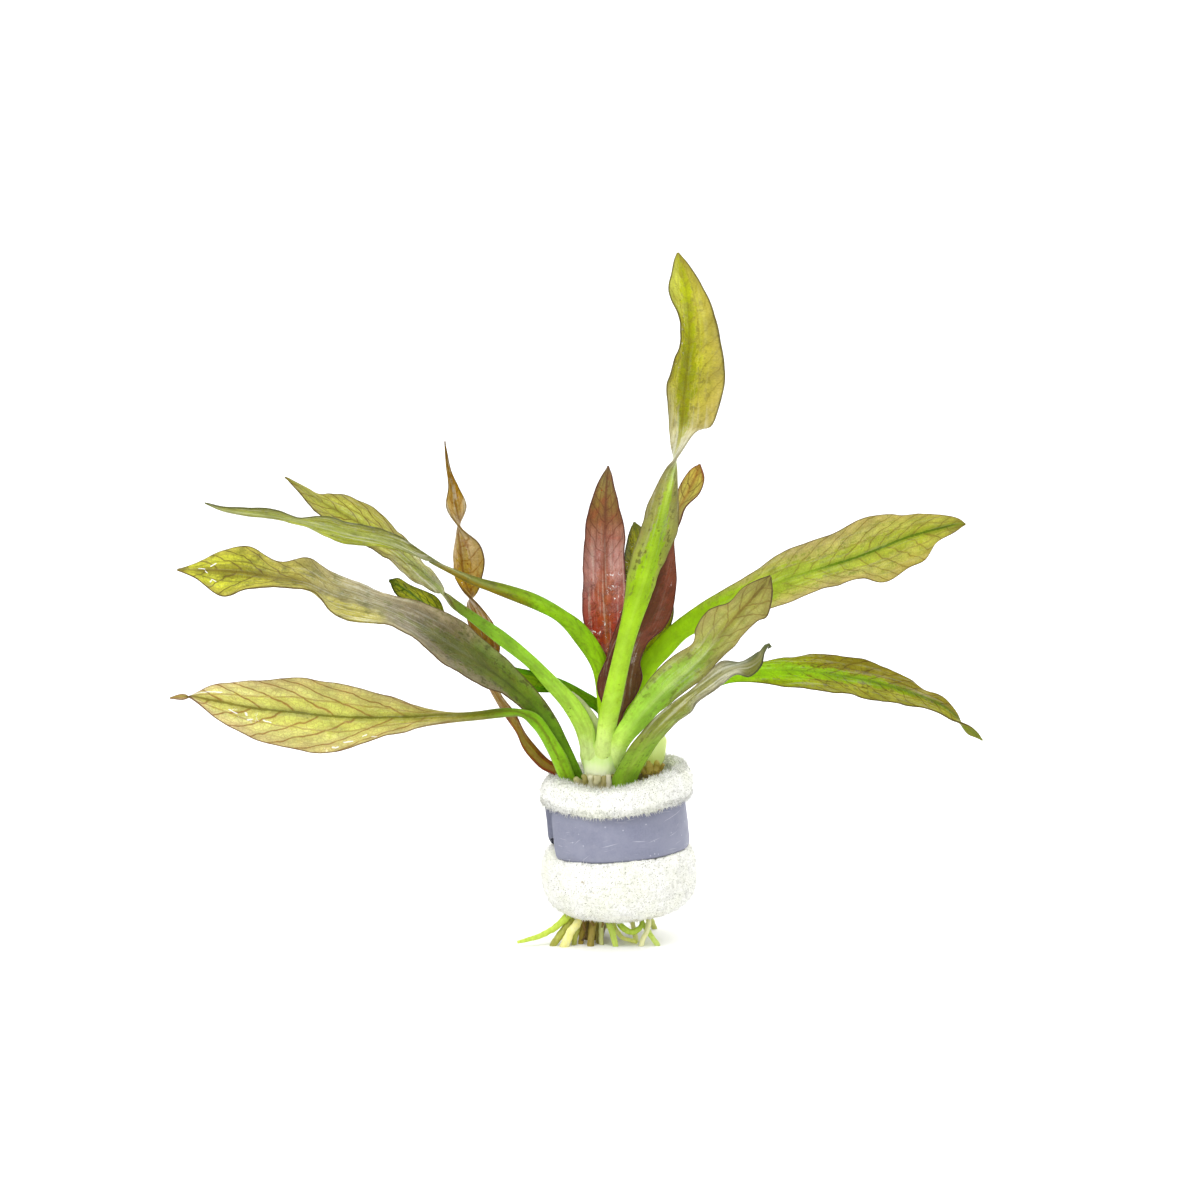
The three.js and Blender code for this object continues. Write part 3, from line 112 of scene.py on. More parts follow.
# Every leaf is a row of stations from base to tip.
# A station is the middle of the leaf, then its a edge, then its b edge, then the middle's thickness.
# Middle: across, up, depth. Edge: across, up, depth beyond the middle's.
# The upper face of a leaf looks at the eye where the a edge is left of the way it grows.
LEAVES = tables("""
leaf_left_low
-1.6 28 -2.6 -3 27.6 .2 -.2 28.6 .2 2.4
-4.9 34.3 -4 -6.5 34.2 .4 -3.3 34.6 .5 2.5
-7.4 40.5 -7 -9.2 40.2 .4 -5.6 40.4 .5 2.4
-10.1 45.4 -10.2 -11.7 44.9 .4 -8.8 45.4 .5 2.1
-12.8 48.4 -12.8 -13.6 47.2 .3 -12 49.6 .4 1.8
-16 50 -14.9 -16.1 49.2 -.3 -15.7 50.9 .3 1.6
-20.5 50 -17.1 -20.5 49 -.8 -20.5 50.9 .8 1.5
-25.5 49.4 -18.6 -25.5 48.5 -1 -25.5 50.2 1 1.4
-30.5 49.1 -20 -30.5 48 -1.3 -30.5 49.9 1.3 1.3
-36 49.1 -21.2 -36 47.2 -1.8 -36 50.8 1.8 1.2
-42 49 -22.2 -42 45.8 -2.4 -42 52.7 2.4 1.1
-50 48.9 -23.2 -50 43.6 -3 -50 55.1 3 1
-58 49.2 -24 -58 41.1 -3.6 -58 56.8 3.6 .95
-66 50.1 -24.6 -66 41.9 -3.6 -66 57.8 3.6 .9
-75 51 -25.2 -75 44.2 -3 -75 57.1 3 .85
-83 52.5 -25.6 -82.6 48.2 -2 -83.2 56.5 2 .8
-88.3 53.4 -25.5 -88 52.5 -1 -88.4 54.2 1 .65
-90.6 53.6 -25.1 -90.6 54.2 .5 -90.6 53 -.5 .6
-93.8 53.3 -24.5 -93.7 53.45 .05 -93.7 53.15 -.05 .4
leaf_left_wavy
.2 28 -2 -1 28 0 1.4 28 0 2.2
-2.5 34.5 -2.4 -3.9 34.6 -.3 -1.3 34.5 .3 2.3
-4.7 39 -3.6 -6.2 38.8 -.4 -3.2 39.1 .4 2.2
-7.5 44 -6 -9.2 43.5 -.5 -5.6 44.2 .6 2
-10.5 48.4 -9 -12.2 47.4 -.6 -8.1 49.2 1 1.8
-14.5 52.7 -12.8 -15.8 51.2 -1.2 -12 54.6 1.8 1.6
-19 56.6 -16.8 -19.6 54 -2.6 -17.2 60.2 3 1.4
-24.5 60.5 -20.4 -25 56.4 -4 -23 65.4 4 1.2
-31 64.5 -24.4 -32 60.4 -5 -29 70.4 5 1.1
-38 68.8 -28 -38.2 65.5 -5.5 -36.5 74.1 5.5 1
-45 72.3 -31 -44.5 69.5 -6 -44 76 6 .95
-52 74.6 -33.5 -51 70 -6 -51 78.5 6 .9
-58 76.4 -35.5 -57.2 72 -5.8 -57.5 81.2 6 .9
-63.5 78.8 -37 -62.2 76.9 -5 -63 84.4 5.5 .9
-70 79.9 -38.5 -70 78.1 -4 -69.5 83.6 4.5 .85
-76.5 81 -39.5 -77 77.3 -3.5 -76 86.9 4 .8
-83 81.6 -40.5 -82.5 76 -3 -82.5 85.9 3 .75
-88.5 81.6 -41 -88 79.9 -1.2 -88 83.3 1.2 .6
-92.2 81.8 -41.3 -92.1 81.65 0 -92.1 81.95 0 .4
leaf_left_pale
3.1 45 -2.6 4.6 45.2 .3 1.6 44.8 .3 2
2.8 53 -2.2 4.5 53.4 .3 1.2 52.6 .3 2
1.7 60.8 -1.3 3.4 61.8 .4 0 59.9 .4 1.9
-2.6 67.2 .6 -1.1 69.1 .4 -4.1 66.3 .4 1.8
-7 71.4 3 -6.2 72.9 .8 -7.7 70.4 .2 1.7
-12.5 74.6 5.5 -12.3 76.3 1 -12.7 73 0 1.5
-19 77 8.5 -18.8 78.4 1 -19.2 75.6 0 1.3
-26 79.2 11.5 -25.8 80.2 .8 -26 78.3 -.8 1.2
-33 82.4 14 -33 83 .4 -33 82 -1 1
-38 84.9 16 -37.4 85.6 -1.5 -38 84.6 .8 .9
-42 86.9 17.2 -42 88.7 -2.5 -42 85.9 2 .85
-47 88.6 18.4 -47 91 -3.5 -47 87.1 3 .8
-53 89.8 19.6 -52.5 91.9 -4 -53 87.3 4 .8
-59 91.4 20.8 -58.5 93.6 -4 -59 89.2 4 .8
-65 92.8 21.8 -64.5 93.4 -3 -65 91.9 3.5 .75
-71 94.1 22.6 -71 95.2 -2.5 -71 93.1 3 .7
-77 94.7 23.3 -77 95.6 -2 -77 93.9 2 .65
-82 95.3 24 -82 95.8 -1 -82 94.9 1 .5
-86.1 96.7 24.5 -86 96.8 0 -86 96.6 0 .4
leaf_left_high
-.9 42.6 -6.6 .9 42.8 .4 -2.6 42.4 .4 2.4
-1.9 47 -6.4 .2 47.5 .5 -3.8 46.5 .4 2.4
-4.9 52 -5.2 -3 52.9 .5 -6.6 51.3 .3 2.2
-9 56.6 -2.8 -7.2 57 .5 -10.6 55.9 .2 2.1
-14 61.4 .6 -13.2 62.9 .6 -14.8 60.7 .2 1.9
-20 66.4 4.8 -19.3 67.9 .8 -20.6 65.2 .2 1.7
-26 70.7 9.5 -25.4 71.8 .8 -26.8 70.2 .2 1.5
-30 73.6 13 -29.6 74.7 1 -30.3 72.7 -.6 1.3
-32.2 75.8 15.6 -32.1 76.3 1.8 -32.3 75.4 -1.8 1.1
-34.6 78 18 -35 76.8 -1.5 -33.2 78.2 1.6 1
-37.6 81 21 -39.2 79.1 -3 -35.7 81.6 3 .95
-41.5 84.6 24.3 -43.6 82.6 -4 -39.4 86 4 .9
-46 88.4 27.6 -48.2 86.2 -4 -43.2 90.6 4 .9
-51 91.6 30.6 -53 88.5 -4 -48.5 95.4 4 .85
-56 94.4 33.2 -58 91.5 -3.8 -54.5 98.4 3.8 .8
-60.5 97 35.2 -62 95.4 -2.8 -59.8 98.5 2.8 .75
-65 100.2 37.2 -65.3 99.2 -1.5 -64.6 100.6 1.5 .6
-68.2 102.4 38.6 -68.2 102.3 0 -68.1 102.5 0 .4
leaf_left_short
3.8 45 .4 3 44.2 0 4.6 46 0 1.8
2 50.7 2.7 1.6 49.4 -.4 2.3 52 .4 1.7
-2 53.6 2.4 -2.2 52.3 -.5 -1.8 54.9 .5 1.6
-7 55.9 1.6 -6.6 54.4 -.8 -7.2 57.6 .8 1.4
-12.5 57 .3 -12.3 54.7 -1 -13 59.3 1 1.3
-18 58.5 -1.5 -17.6 56.4 -1 -18.5 60.6 1 1.2
-24 62 -3.8 -23.4 60 -1.2 -24.6 64.2 1.2 1.1
-30 67 -6 -29 65 -2 -31 69.5 2 1
-34.5 71.8 -7.7 -33.2 69.8 -2.8 -34.2 75.3 2.8 .9
-38.2 74.8 -8.9 -37.4 72 -3 -37.8 77.25 3 .85
-41.5 77.2 -9.9 -41 74.5 -2.4 -41.2 78.9 2.4 .75
-43.6 78.5 -10.5 -43.6 76.4 -1.5 -43.2 80 1.5 .6
-45.1 79.4 -11 -45 79.2 0 -44.9 79.6 0 .4
leaf_ochre_spiral
-2.2 29.4 -2.2 -3 28.6 0 -1.4 30.4 0 1.6
-7 36.5 -1.4 -7.6 35.4 .3 -6.3 37.6 -.3 1.3
-10.7 38.9 0 -11.5 37.8 .3 -9.8 39.8 -.3 1.1
-14.2 42.7 2.4 -15 41.7 .3 -13.4 43.7 -.3 1
-16 46 4.8 -16.8 45.6 .4 -15.2 46.3 -.3 .95
-18.3 50 7.8 -19.5 49.6 1 -17.2 50.3 -.6 .95
-21.6 55 11.6 -22.7 55.2 1 -20.4 54.6 -.6 .95
-23.6 60.5 15 -25.4 60.9 1.4 -21.6 60.1 -1 .9
-24 66 18 -26.6 67.2 1.6 -20.4 64.4 -1 .9
-25.2 70.8 19.8 -27.8 71.2 1.2 -21.7 69.6 -.8 .85
-26.4 74 20.8 -27.7 74.4 1.5 -25 73.8 -1.2 .85
-27 75.6 21.4 -26.8 75.4 1.8 -27.2 75.8 -1.8 .85
-27.6 77.4 22 -25.3 77 .2 -28.9 77.4 -.6 .85
-28.4 80.6 22.9 -24.4 80.2 -1.4 -30.6 80.4 .8 .85
-28.8 84.4 23.9 -23.8 84.2 -1.8 -30.8 84 1.2 .85
-29.2 88 24.8 -25.2 87.8 -1.6 -30.1 88 1 .8
-29.5 91.2 25.6 -29.2 91.1 -1.6 -29.8 91.2 1.4 .75
-30.3 95.5 26.6 -32.3 95.5 -1 -27.9 95.9 1 .7
-31 100 27.8 -31.9 100.3 -.3 -29.6 100.2 .3 .6
-31.9 104.5 28.8 -32.4 104.5 .2 -31.5 104.5 -.2 .5
-32.7 110.4 30 -32.8 110.3 0 -32.6 110.3 0 .4
leaf_red_centre
4.5 44.5 -.6 3.3 44.5 0 5.7 44.5 0 1.8
4.3 53 3.2 2.6 53 -.3 6.2 53 -.3 1.6
3.9 60.5 5 .6 60.5 -.8 7 60.5 -.8 1.4
3.4 66 6.6 -1.2 66 -1.2 7.4 66 -1.2 1.3
3.1 71 8.2 -1.9 71 -1.5 7.4 71 -1.5 1.2
2.9 76 10 -2.15 76 -1.6 7.5 76 -1.6 1.1
2.8 81 11.8 -1.95 81 -1.6 7.4 81 -1.6 1
2.8 86 13.6 -1.85 86 -1.5 7.2 86 -1.5 .95
2.9 91 15.4 -1.5 91 -1.3 7.2 91 -1.3 .9
3 95.5 16.9 -.6 95.5 -1 6.2 95.5 -1 .8
3.2 100 18.4 .8 100 -.6 5 100 -.6 .7
3.5 103 19.4 2.3 103 -.3 4.4 103 -.3 .6
3.6 104.9 20.1 3.5 104.8 0 3.7 104.8 0 .4
leaf_red_right
5.4 45 -2.2 4.4 45 0 6.4 45.2 0 1.7
5.2 50 -1.4 2.9 50 -1 7 50 -.5 1.5
5.6 54 -.6 1.6 54 -1.8 9.8 54 -1.2 1.3
6.2 58 .3 1.4 57.8 -2.2 11.3 58 -1.4 1.2
7 62 1.4 3.1 62 -1.8 10.6 61.6 -1.2 1.1
8.6 66 2.8 4.3 66 -1.6 12.6 65.6 -.8 1.1
10.6 70 4.4 5.6 70 -1.2 16.4 69.3 -.6 1
12.6 74.5 6.2 7.6 75 -.8 18.2 74 -.6 1
14.3 79.5 8 9.8 80 -.6 18.8 79.2 -.6 .9
15.8 85 9.9 12.2 85.6 -.4 18.5 84.8 -.6 .85
17 89.5 11.4 15.2 90.2 .2 18.4 88.8 -.4 .8
18.5 93 12.6 17.4 93.8 .8 19.8 92.8 -.8 .75
19.9 96 13.6 18.8 96.8 1.2 20.9 95.8 -.8 .7
21.4 99 14.6 19.3 100 .8 23.8 98.6 -.6 .65
22.8 102 15.6 20.8 102.8 .4 25 101.8 -.3 .6
23.6 104 16.2 22.3 104.5 .2 24.6 104 0 .5
23.9 105.3 16.6 23.8 105.2 0 24 105.2 0 .4
leaf_dark_centre
6.6 44.6 -1 5.7 44.6 0 7.5 44.6 0 1.5
8 53 5.6 6.4 53 -.3 10 53 -.3 1.4
10 60 7.8 7.2 60.4 -.5 13 59.6 -.5 1.2
11.6 66 10.2 7.6 66.4 -.8 15.8 65.7 -.8 1.1
12.5 72 12.4 7.8 72 -.8 18.1 71.6 -.8 1
12.4 78 14.6 7.6 78 -.8 17.4 78 -.8 .95
11.4 84 16.6 7.2 84 -.8 15.4 84.4 -.8 .85
10.2 89 18.2 7.9 88.8 -.5 12.8 89.4 -.5 .75
9.6 91.4 19 8.7 91.3 -.2 10.8 91.5 -.2 .6
9.4 92.4 19.4 9.25 92.3 0 9.55 92.3 0 .4
leaf_tallest
2.8 43.6 -7.8 4.7 43.6 .6 .9 43.6 .6 2.5
3.4 48 -8.4 5.5 47.8 .6 1.5 48 .6 2.5
4.2 53 -8.6 6.6 52.6 .6 2.6 53 .6 2.4
5.5 59 -8.6 7.8 58.6 .6 4.1 59 .6 2.3
7.2 65.5 -8.2 9.3 65.2 .6 5.5 65.5 .6 2.2
9.2 72 -7.6 11.4 71.6 .8 6.8 72 .8 2
11.4 79 -7.1 14 78.6 1.4 7.8 79.4 1.2 1.7
13.6 86 -6.8 16.8 85.6 1.8 9.2 86.2 1.6 1.4
15 91 -6.6 19.2 91.2 2 11.2 91.2 1.8 1.2
16.2 96 -6.6 19.1 96 2 12.2 96 1.6 1.1
17.2 100.5 -6.7 18.9 100.5 1.8 14.4 100.6 .6 1
17.9 104 -6.9 18.8 103.8 2 16.3 104.2 -.6 .95
18.4 106.3 -7.1 18.4 106.2 2.4 18.5 106.4 -2 .9
19.2 109 -7.5 17.6 109.2 1.6 20.4 108.9 -1.4 .9
19.7 112 -7.9 17.2 112 1 23.2 112.6 -1.4 .9
20.1 114.8 -8.4 17 114.8 .6 26.4 113.6 -2 .9
20.3 118 -9 16.9 118 0 28.1 117.4 -2 .9
20.7 122.5 -9.8 16.8 122.5 -.6 29.4 122.5 -2.2 .9
21.2 127.5 -10.4 17.9 127.6 -1 29.4 127.5 -2.2 .9
21.6 133 -10.9 20 133 -1.6 28.6 133 -2 .85
21.4 138.5 -11 19 138.6 -1.4 27.2 138.4 -1.8 .8
21 143 -10.8 17.1 143.4 -.8 25.6 143 -1.4 .75
20.2 147.5 -10.4 17.7 147.8 -.5 22.9 147.6 -.8 .65
19.4 150.8 -10 18.3 150.8 -.2 20.8 150.6 -.3 .5
19.1 152.3 -9.8 18.95 152.2 0 19.25 152.2 0 .4
leaf_right_front
5.4 41.8 -7.6 7.4 41.5 .5 3.6 42.3 .5 2.5
7 45 -8.6 9.3 44.4 .5 5 45.8 .5 2.4
9.8 48.4 -10.4 11.6 46.6 .5 7.2 49.4 .5 2.2
13.2 52.2 -12.6 15 50.1 .6 10.4 54.3 .6 1.9
17.6 56.6 -15.6 19.6 53.9 .6 14.6 59.7 .8 1.6
22 60.4 -18.8 24.4 57.4 .6 18 62.7 1.2 1.3
25.4 63.8 -21.4 28.2 61.6 .6 22.2 65.4 1.4 1.2
28 67 -23.6 31.4 64.5 .4 23.2 69.2 1.4 1.1
30.6 70 -25.6 33.4 67.1 .2 26 73 1 1
33.4 73.2 -27.6 36.6 70.2 0 30.2 74.4 .6 .9
35.8 75.6 -29.2 39.1 71.6 -.4 33.4 77.8 .4 .8
38.2 78.4 -31 40.1 76.2 -.6 36.8 79.6 .2 .65
39.7 80.4 -32.2 39.85 80.1 0 39.5 80.5 0 .4
leaf_right_low
4.6 28.6 -6.4 3 28.6 .3 6.2 28.6 .3 2.3
6.7 34 -8.4 3.9 34 .3 9.5 34 .3 2.3
8.4 38 -10.6 5.7 38 .3 11.2 37.8 .3 2.2
11 42 -13 8 42 .3 13.8 42.1 .2 2
13.8 45.6 -15.2 11 45.8 .6 16.3 45.2 -.2 1.7
16.8 48.6 -17.2 14.3 49.3 1 19 48 -.6 1.4
20 51.4 -19 18.2 52.5 1.2 22 50.1 -1.2 1.2
23.2 54 -20.6 21.8 55 1.6 23.4 52.4 -1.8 1.1
26.4 56.6 -22.2 25 58 2 27.4 55.2 -2.4 1
29.4 58.8 -23.8 28.6 61.4 2.6 30 57.4 -2.8 .95
32.4 60 -25.4 32.6 61.2 2.6 32.4 58.5 -3 .9
35 60.6 -26.8 35.4 62.6 2 35 58.1 -2.6 .85
37 62 -28 36.8 63.5 1 37.6 60.4 -1.6 .75
38.2 63.6 -28.8 37.9 64.1 .4 38.5 63.2 -.5 .6
39.3 64.9 -29.4 39.1 65.1 0 39.5 64.8 0 .4
leaf_right_high
7.4 44.6 -2.4 6.2 45 0 8.6 44.4 0 2
9 51 2.2 7.5 51.6 .3 10.6 50.4 .3 2
12 59.2 4.6 10.3 61 .4 13.6 58.4 .4 1.9
15.6 63.9 6.6 13.8 65.8 .4 17.2 62.7 .4 1.8
19.8 67.7 8.8 18.2 70.1 .5 21.2 66.8 .5 1.6
24.6 70.8 11.2 23.4 73.9 1 25.6 69 -.3 1.4
30 73.6 13.8 29.4 77.6 1.6 31 71 -1 1.2
36 76.4 16.6 35.2 80.9 2.2 36.6 72.4 -1.6 1.1
42 79.2 19.4 41 85 2.8 42.4 74 -2.2 1
48 81.2 22 47 87.7 3 48.4 76.5 -2.6 1
54 83 24.6 53.4 89.8 3 54.6 78.5 -2.8 .95
60 85 27 59.4 93 3 60 79.8 -2.8 .95
65.5 87.2 29 65.6 94.2 2.8 65.4 79.1 -2.6 .9
70 89 30.4 70 93.9 2.4 70.4 82.2 -2.2 .85
74 90.2 31.6 74.4 94.3 2 74.1 84 -2 .8
77.6 91.1 32.4 78 94 1.6 76.6 87.8 -1.4 .7
80.8 91.8 33 81.2 93.3 .8 80.6 90.1 -.8 .6
83 92 33.4 83 92.15 0 82.95 91.85 0 .4
leaf_right_long
12.9 43.6 2.6 11.8 44 0 14 43 0 1.9
16 47.8 1.4 15 48.6 .3 17 47 .3 1.9
20 51.9 .4 19.3 53 .3 20.7 50.9 .3 1.8
25 55.5 -.5 24.4 56.7 .4 25.4 54.5 .2 1.7
30 57.7 -1 29.7 58.9 .7 30.2 56.5 -.3 1.5
35 58.9 -1 34.8 60.7 1.4 35.2 56.8 -1 1.4
40.5 59.4 -.5 40.2 61.7 2.2 40.6 56.2 -2 1.2
46 59.3 .3 45.8 62.7 3 46 55.5 -2.8 1.1
51.5 58.7 1.3 51.2 63 3.4 51.6 54.9 -3.2 1
57 57.8 2.4 57 62.5 3.4 57 54.1 -3.2 1
62.5 56.8 3.6 63 61 3.2 62.6 52.9 -3 .95
68 55.3 4.8 68.4 58.6 2.8 67.6 52.1 -2.6 .9
73 53.6 6 73.4 55.5 2.4 72.6 51.3 -2.2 .85
77.4 51.7 7 78 53.5 1.8 76.8 50.1 -1.8 .8
80.4 49.4 7.8 81 50.1 1.2 79.9 48.4 -1.2 .7
82.1 47.6 8.2 82.1 47.4 1.2 82.1 47.8 -1.2 .65
83.9 46.2 8.6 83.5 45.3 .3 84.2 47 -.3 .6
85.6 44.9 8.9 85.3 44.5 0 85.9 45.5 0 .5
86.8 43.9 9 86.7 43.8 0 86.8 44 0 .4
crown_sheath
1.6 43.6 -4.6 .7 43.6 0 2.5 43.6 0 .8
.9 46.5 -4.7 -.4 46.4 -.1 2.2 47 -.1 .7
-.8 50 -4.1 -1.9 49.6 -.1 .3 50.2 -.1 .6
-2.9 52.9 -3.3 -3.6 52.4 -.1 -2.2 53.1 -.1 .5
-4.5 54.7 -2.6 -4.6 54.6 0 -4.4 54.8 0 .4
""")

# Each row is the middle's x, y and z, then the radius across and the radius in depth.
TRUNKS = tables("""
root_stock
0 0 0 2.5 2.3
.5 -.5 4 2.9 2.6
1.2 -1.2 8 3 2.8
2.4 -2.4 14 3.1 3.1
2.6 -3.2 22 3.2 3.2
2.3 -4 29 3.3 3.2
1.9 -4.9 34.6 2.3 2.3
crown_main
1.8 -5.2 35 1.9 1.9
1.8 -5.1 37 2.7 2.6
2 -4.9 38.8 3.3 3.2
2.2 -4.7 41 4.2 3.9
2.5 -4.4 43.2 4.9 4.3
2.7 -4.2 45 5 4.3
2.8 -4.1 46.2 3.4 3
crown_right
9.2 2 9 1.6 1.6
9 2.2 18 2.2 2.2
10.4 2.8 28 2.4 2.4
12.3 3.4 36 2.2 2.2
12.9 3.4 39.2 3 2.9
13.2 3.3 42 3.4 3.2
13.5 3.2 44.6 3.3 3
13.7 3.1 46.2 2.2 2
""")

# Two colours for each root, then its rows: across, up, depth and radius.
ROOTS = tables("""
root_left_long
#D2EE68 #BCDC50
-3.6 6.3 -4.6 .9
-5.6 4.6 -6.2 .85
-8 2.5 -7.4 .75
-11 .7 -8.2 .65
-14 -.3 -8.8 .5
-16.6 -.95 -8.9 .35
root_left_olive
#C4CA60 #ACAA4C
-2.4 6.2 -4 1
-4 4.4 -5 1
-5.8 2.2 -6.2 .95
-7.6 0 -7.2 .85
-9 -2.2 -7.8 .8
root_left_cream
#FFFFC5 #FFF798
-1.8 5.6 -5.6 .8
-3.2 3.4 -7.2 .9
-4.8 1.2 -8.2 .95
-6.6 -2.6 -8.8 1
root_thin_olive
#CCD46C #B8BE5C
-1.4 5.8 -4.6 .7
-2.8 3.8 -5.6 .65
-3.6 1 -6.4 .65
-4.2 -2.4 -6.8 .6
root_brown_stub
#BBA641 #9A8334
-.8 6 -3.6 .8
-1.8 4 -4.6 .9
-2.2 1.4 -5.6 .7
-2.6 -2.2 -5.8 .6
root_front_brown
#B4A24C #94843C
.4 6 -4.6 .8
.2 3.6 -6.2 .85
-.1 1 -7.4 .8
-.4 -2.6 -8.2 .75
root_middle_thin
#DCE494 #E8EAA8
2 6 -4.4 .6
2.2 3.6 -5.4 .6
2 1 -6.2 .55
2.2 -2.4 -6.8 .5
root_light_green
#D6F27C #C2E668
2.9 6 -5.2 .65
3.6 3.6 -6.6 .7
4.6 1 -7.8 .7
5.4 -2.6 -8.4 .6
root_green_loop
#CAEE64 #B8E052
4.4 6.6 -3 .7
5.6 3.9 -5 .7
7.2 2 -6.2 .7
9 1.3 -6.4 .65
10.6 2.2 -5.4 .6
11.2 3.6 -3.6 .5
root_middle_broad
#ACA450 #928638
1.4 6.4 -2.6 .9
1.5 3.8 -3.6 1
1.7 1 -4.6 .9
1.8 -2 -5.4 .9
root_right_lying
#F5FF8F #FFFFAF
4 6.4 -1.6 .5
4.9 2.6 -3.4 .55
6.6 .2 -4.6 .5
8.6 -.5 -5.2 .45
10 -.9 -5.8 .4
root_right_cream
#FFFFD6 #FFFFC5
11.4 7.6 .4 .6
12.5 4.2 -3.4 .6
12.3 1.9 -5.6 .6
11.4 -.2 -7.4 .6
10.6 -2.6 -8.4 .55
root_right_green
#D2F278 #DCF698
9.8 6.8 -.6 .55
11.2 3.4 -1.8 .55
13.2 .4 -6.4 .6
15.2 -2.4 -8 .6
root_right_pale
#FFFFC3 #FFFFBB
8.6 6.4 -.4 .5
9 3.6 -1.6 .55
9.6 .4 -3.4 .55
10.2 -1.8 -4.4 .5
root_back_left
#C0CC6C #B0B860
-.5 8.1 1.5 .8
-3.4 5 5 .8
-5.2 2.8 7.2 .75
-6.3 1 8.6 .7
root_back_middle
#B4B460 #9C9A48
4 8.2 2.5 .8
3.4 5.2 7 .8
2.9 3.3 9.3 .75
2.4 1.5 11 .7
root_back_right
#C8D480 #BCC26C
9.8 8.2 3.5 .7
12.2 5.2 7 .7
13.4 3.3 8.8 .65
14.1 1.4 10 .6
""")

# Stalk bases that run down into the main crown as overlapping sheaths, before the leaf's own stations.
SHEATHS = tables("""
leaf_tallest
2.3 35.8 -6.6 3.1 35.8 .6 1.5 35.8 .6 1
2.3 38 -7.8 4.2 38 1.5 .5 38 1.5 1.2
2.5 41 -8.1 5 41 1.6 .3 41 1.6 2
leaf_left_high
.7 35.8 -6 1.9 35.8 -.6 -.4 35.8 1 1
.1 38.2 -7.1 2 38.4 -.5 -1.7 38 1.9 1.5
-.3 40.8 -7.2 1.9 41 -.3 -2.5 40.4 1.6 2
leaf_right_front
3.9 35.8 -6 5 35.8 1 2.7 35.8 -.6 1
4.5 38.2 -7.1 6.3 38 2 2.6 38.5 -.5 1.7
""")

# Stations that the scene moves a little from the CAD source's, by leaf and row: what is added to the depth.
DEPTH_SHIFTS = {
    "leaf_left_pale": {0: 1.2, 1: 3.1, 2: 2.7, 3: 1.6, 4: 0.6},
    "leaf_red_right": {1: -0.5, 2: -0.6, 3: -0.5, 4: -0.3},
}

# The curled tip of the low right leaf, in place of so many of its last stations.
TIP_ROWS_REPLACED = 2
TIPS = tables("""
leaf_right_low
37.8 63.5 -28.6 37.5 63.9 .4 38.2 63 -.5 .7
38.5 64.6 -29 38.2 64.9 .3 38.9 64.3 -.2 .6
39.1 65.15 -29.2 39 65.5 .3 39.2 64.8 -.2 .55
39.6 65 -29 39.9 65.2 .2 39.3 64.8 -.2 .5
39.6 64.5 -28.7 39.9 64.4 .1 39.3 64.5 -.1 .45
39.2 64.35 -28.5 39.2 64.2 0 39.2 64.45 0 .4
""")

# Cream, tan and brown stubs of old stalks and roots round the feet of the crowns, and shreds of torn brown
# skin among the roots. Each row is across, up, depth, lean in degrees, length, radius and colour.
SCRAPS = tables("""
stub
-1.9 33 -7.4 35 3.2 1 #D4D09A
-1 32.6 -7.9 12 3.8 .9 #B8B06C
0 32 -8.4 4 4.4 .95 #F6F4D4
.9 31.8 -8.6 -3 4.5 .9 #E4E0B4
1.7 31.9 -8.3 5 4.4 .8 #D0C48C
2.4 31.8 -8.7 -4 4.4 .7 #BEB47A
3.3 31.9 -8.6 -5 4.5 .95 #F4F0D4
4.2 32.4 -8 -9 4 .7 #8F8238
4.9 33 -7.4 -16 3.4 .6 #5E5020
10.9 34 -2.2 8 2.6 .8 #46381C
12.3 34 -2.4 -4 2.4 .9 #54421F
11.8 36.2 -1.6 30 2.6 .8 #AE9840
12.8 36.3 -1.7 5 3 .9 #D3BE58
13.9 36.4 -1.4 -12 3 .85 #D9C45E
14.8 36.8 -1 -30 2.2 .6 #BAA046
13.3 35.2 -1.9 -6 2.2 .4 #B59C44
14.4 35.4 -1.6 -14 2 .35 #A88A3A
shred
-2.6 4.4 -6.4 28 2.6 .35 #6B4E22
-1.6 1.6 -7.6 10 2.4 .3 #7A5A2A
-2.2 -.6 -7.4 -30 2 .3 #5E4420
.4 2.8 -7.6 35 2.2 .3 #8A6A34
2.2 2.4 -7.4 -15 2 .25 #8C7338
13 2.4 4 60 1.8 .3 #6E5426
""")

# The front crown as the photo shows it, round below and full in front, in the terms of TRUNKS.
FULL_CROWN = tables("""
crown_main
1.85 -5.2 36 .9 .9
1.85 -5.2 36.45 2.2 2.1
1.85 -5.2 37.4 3.25 3.3
1.9 -5.1 38.7 3.7 3.95
2.1 -4.9 40.4 4.2 4.4
2.3 -4.6 42 4.7 4.5
2.5 -4.2 43.6 4.9 4.35
2.7 -3.9 45.2 4.9 4.1
2.8 -3.7 46.4 3.2 3
""")

# What a green colour gains and loses, for each step that its green is above its red.
RED_GAIN = 0.18
GREEN_LOSS = 0.12
BLUE_LOSS = 0.5

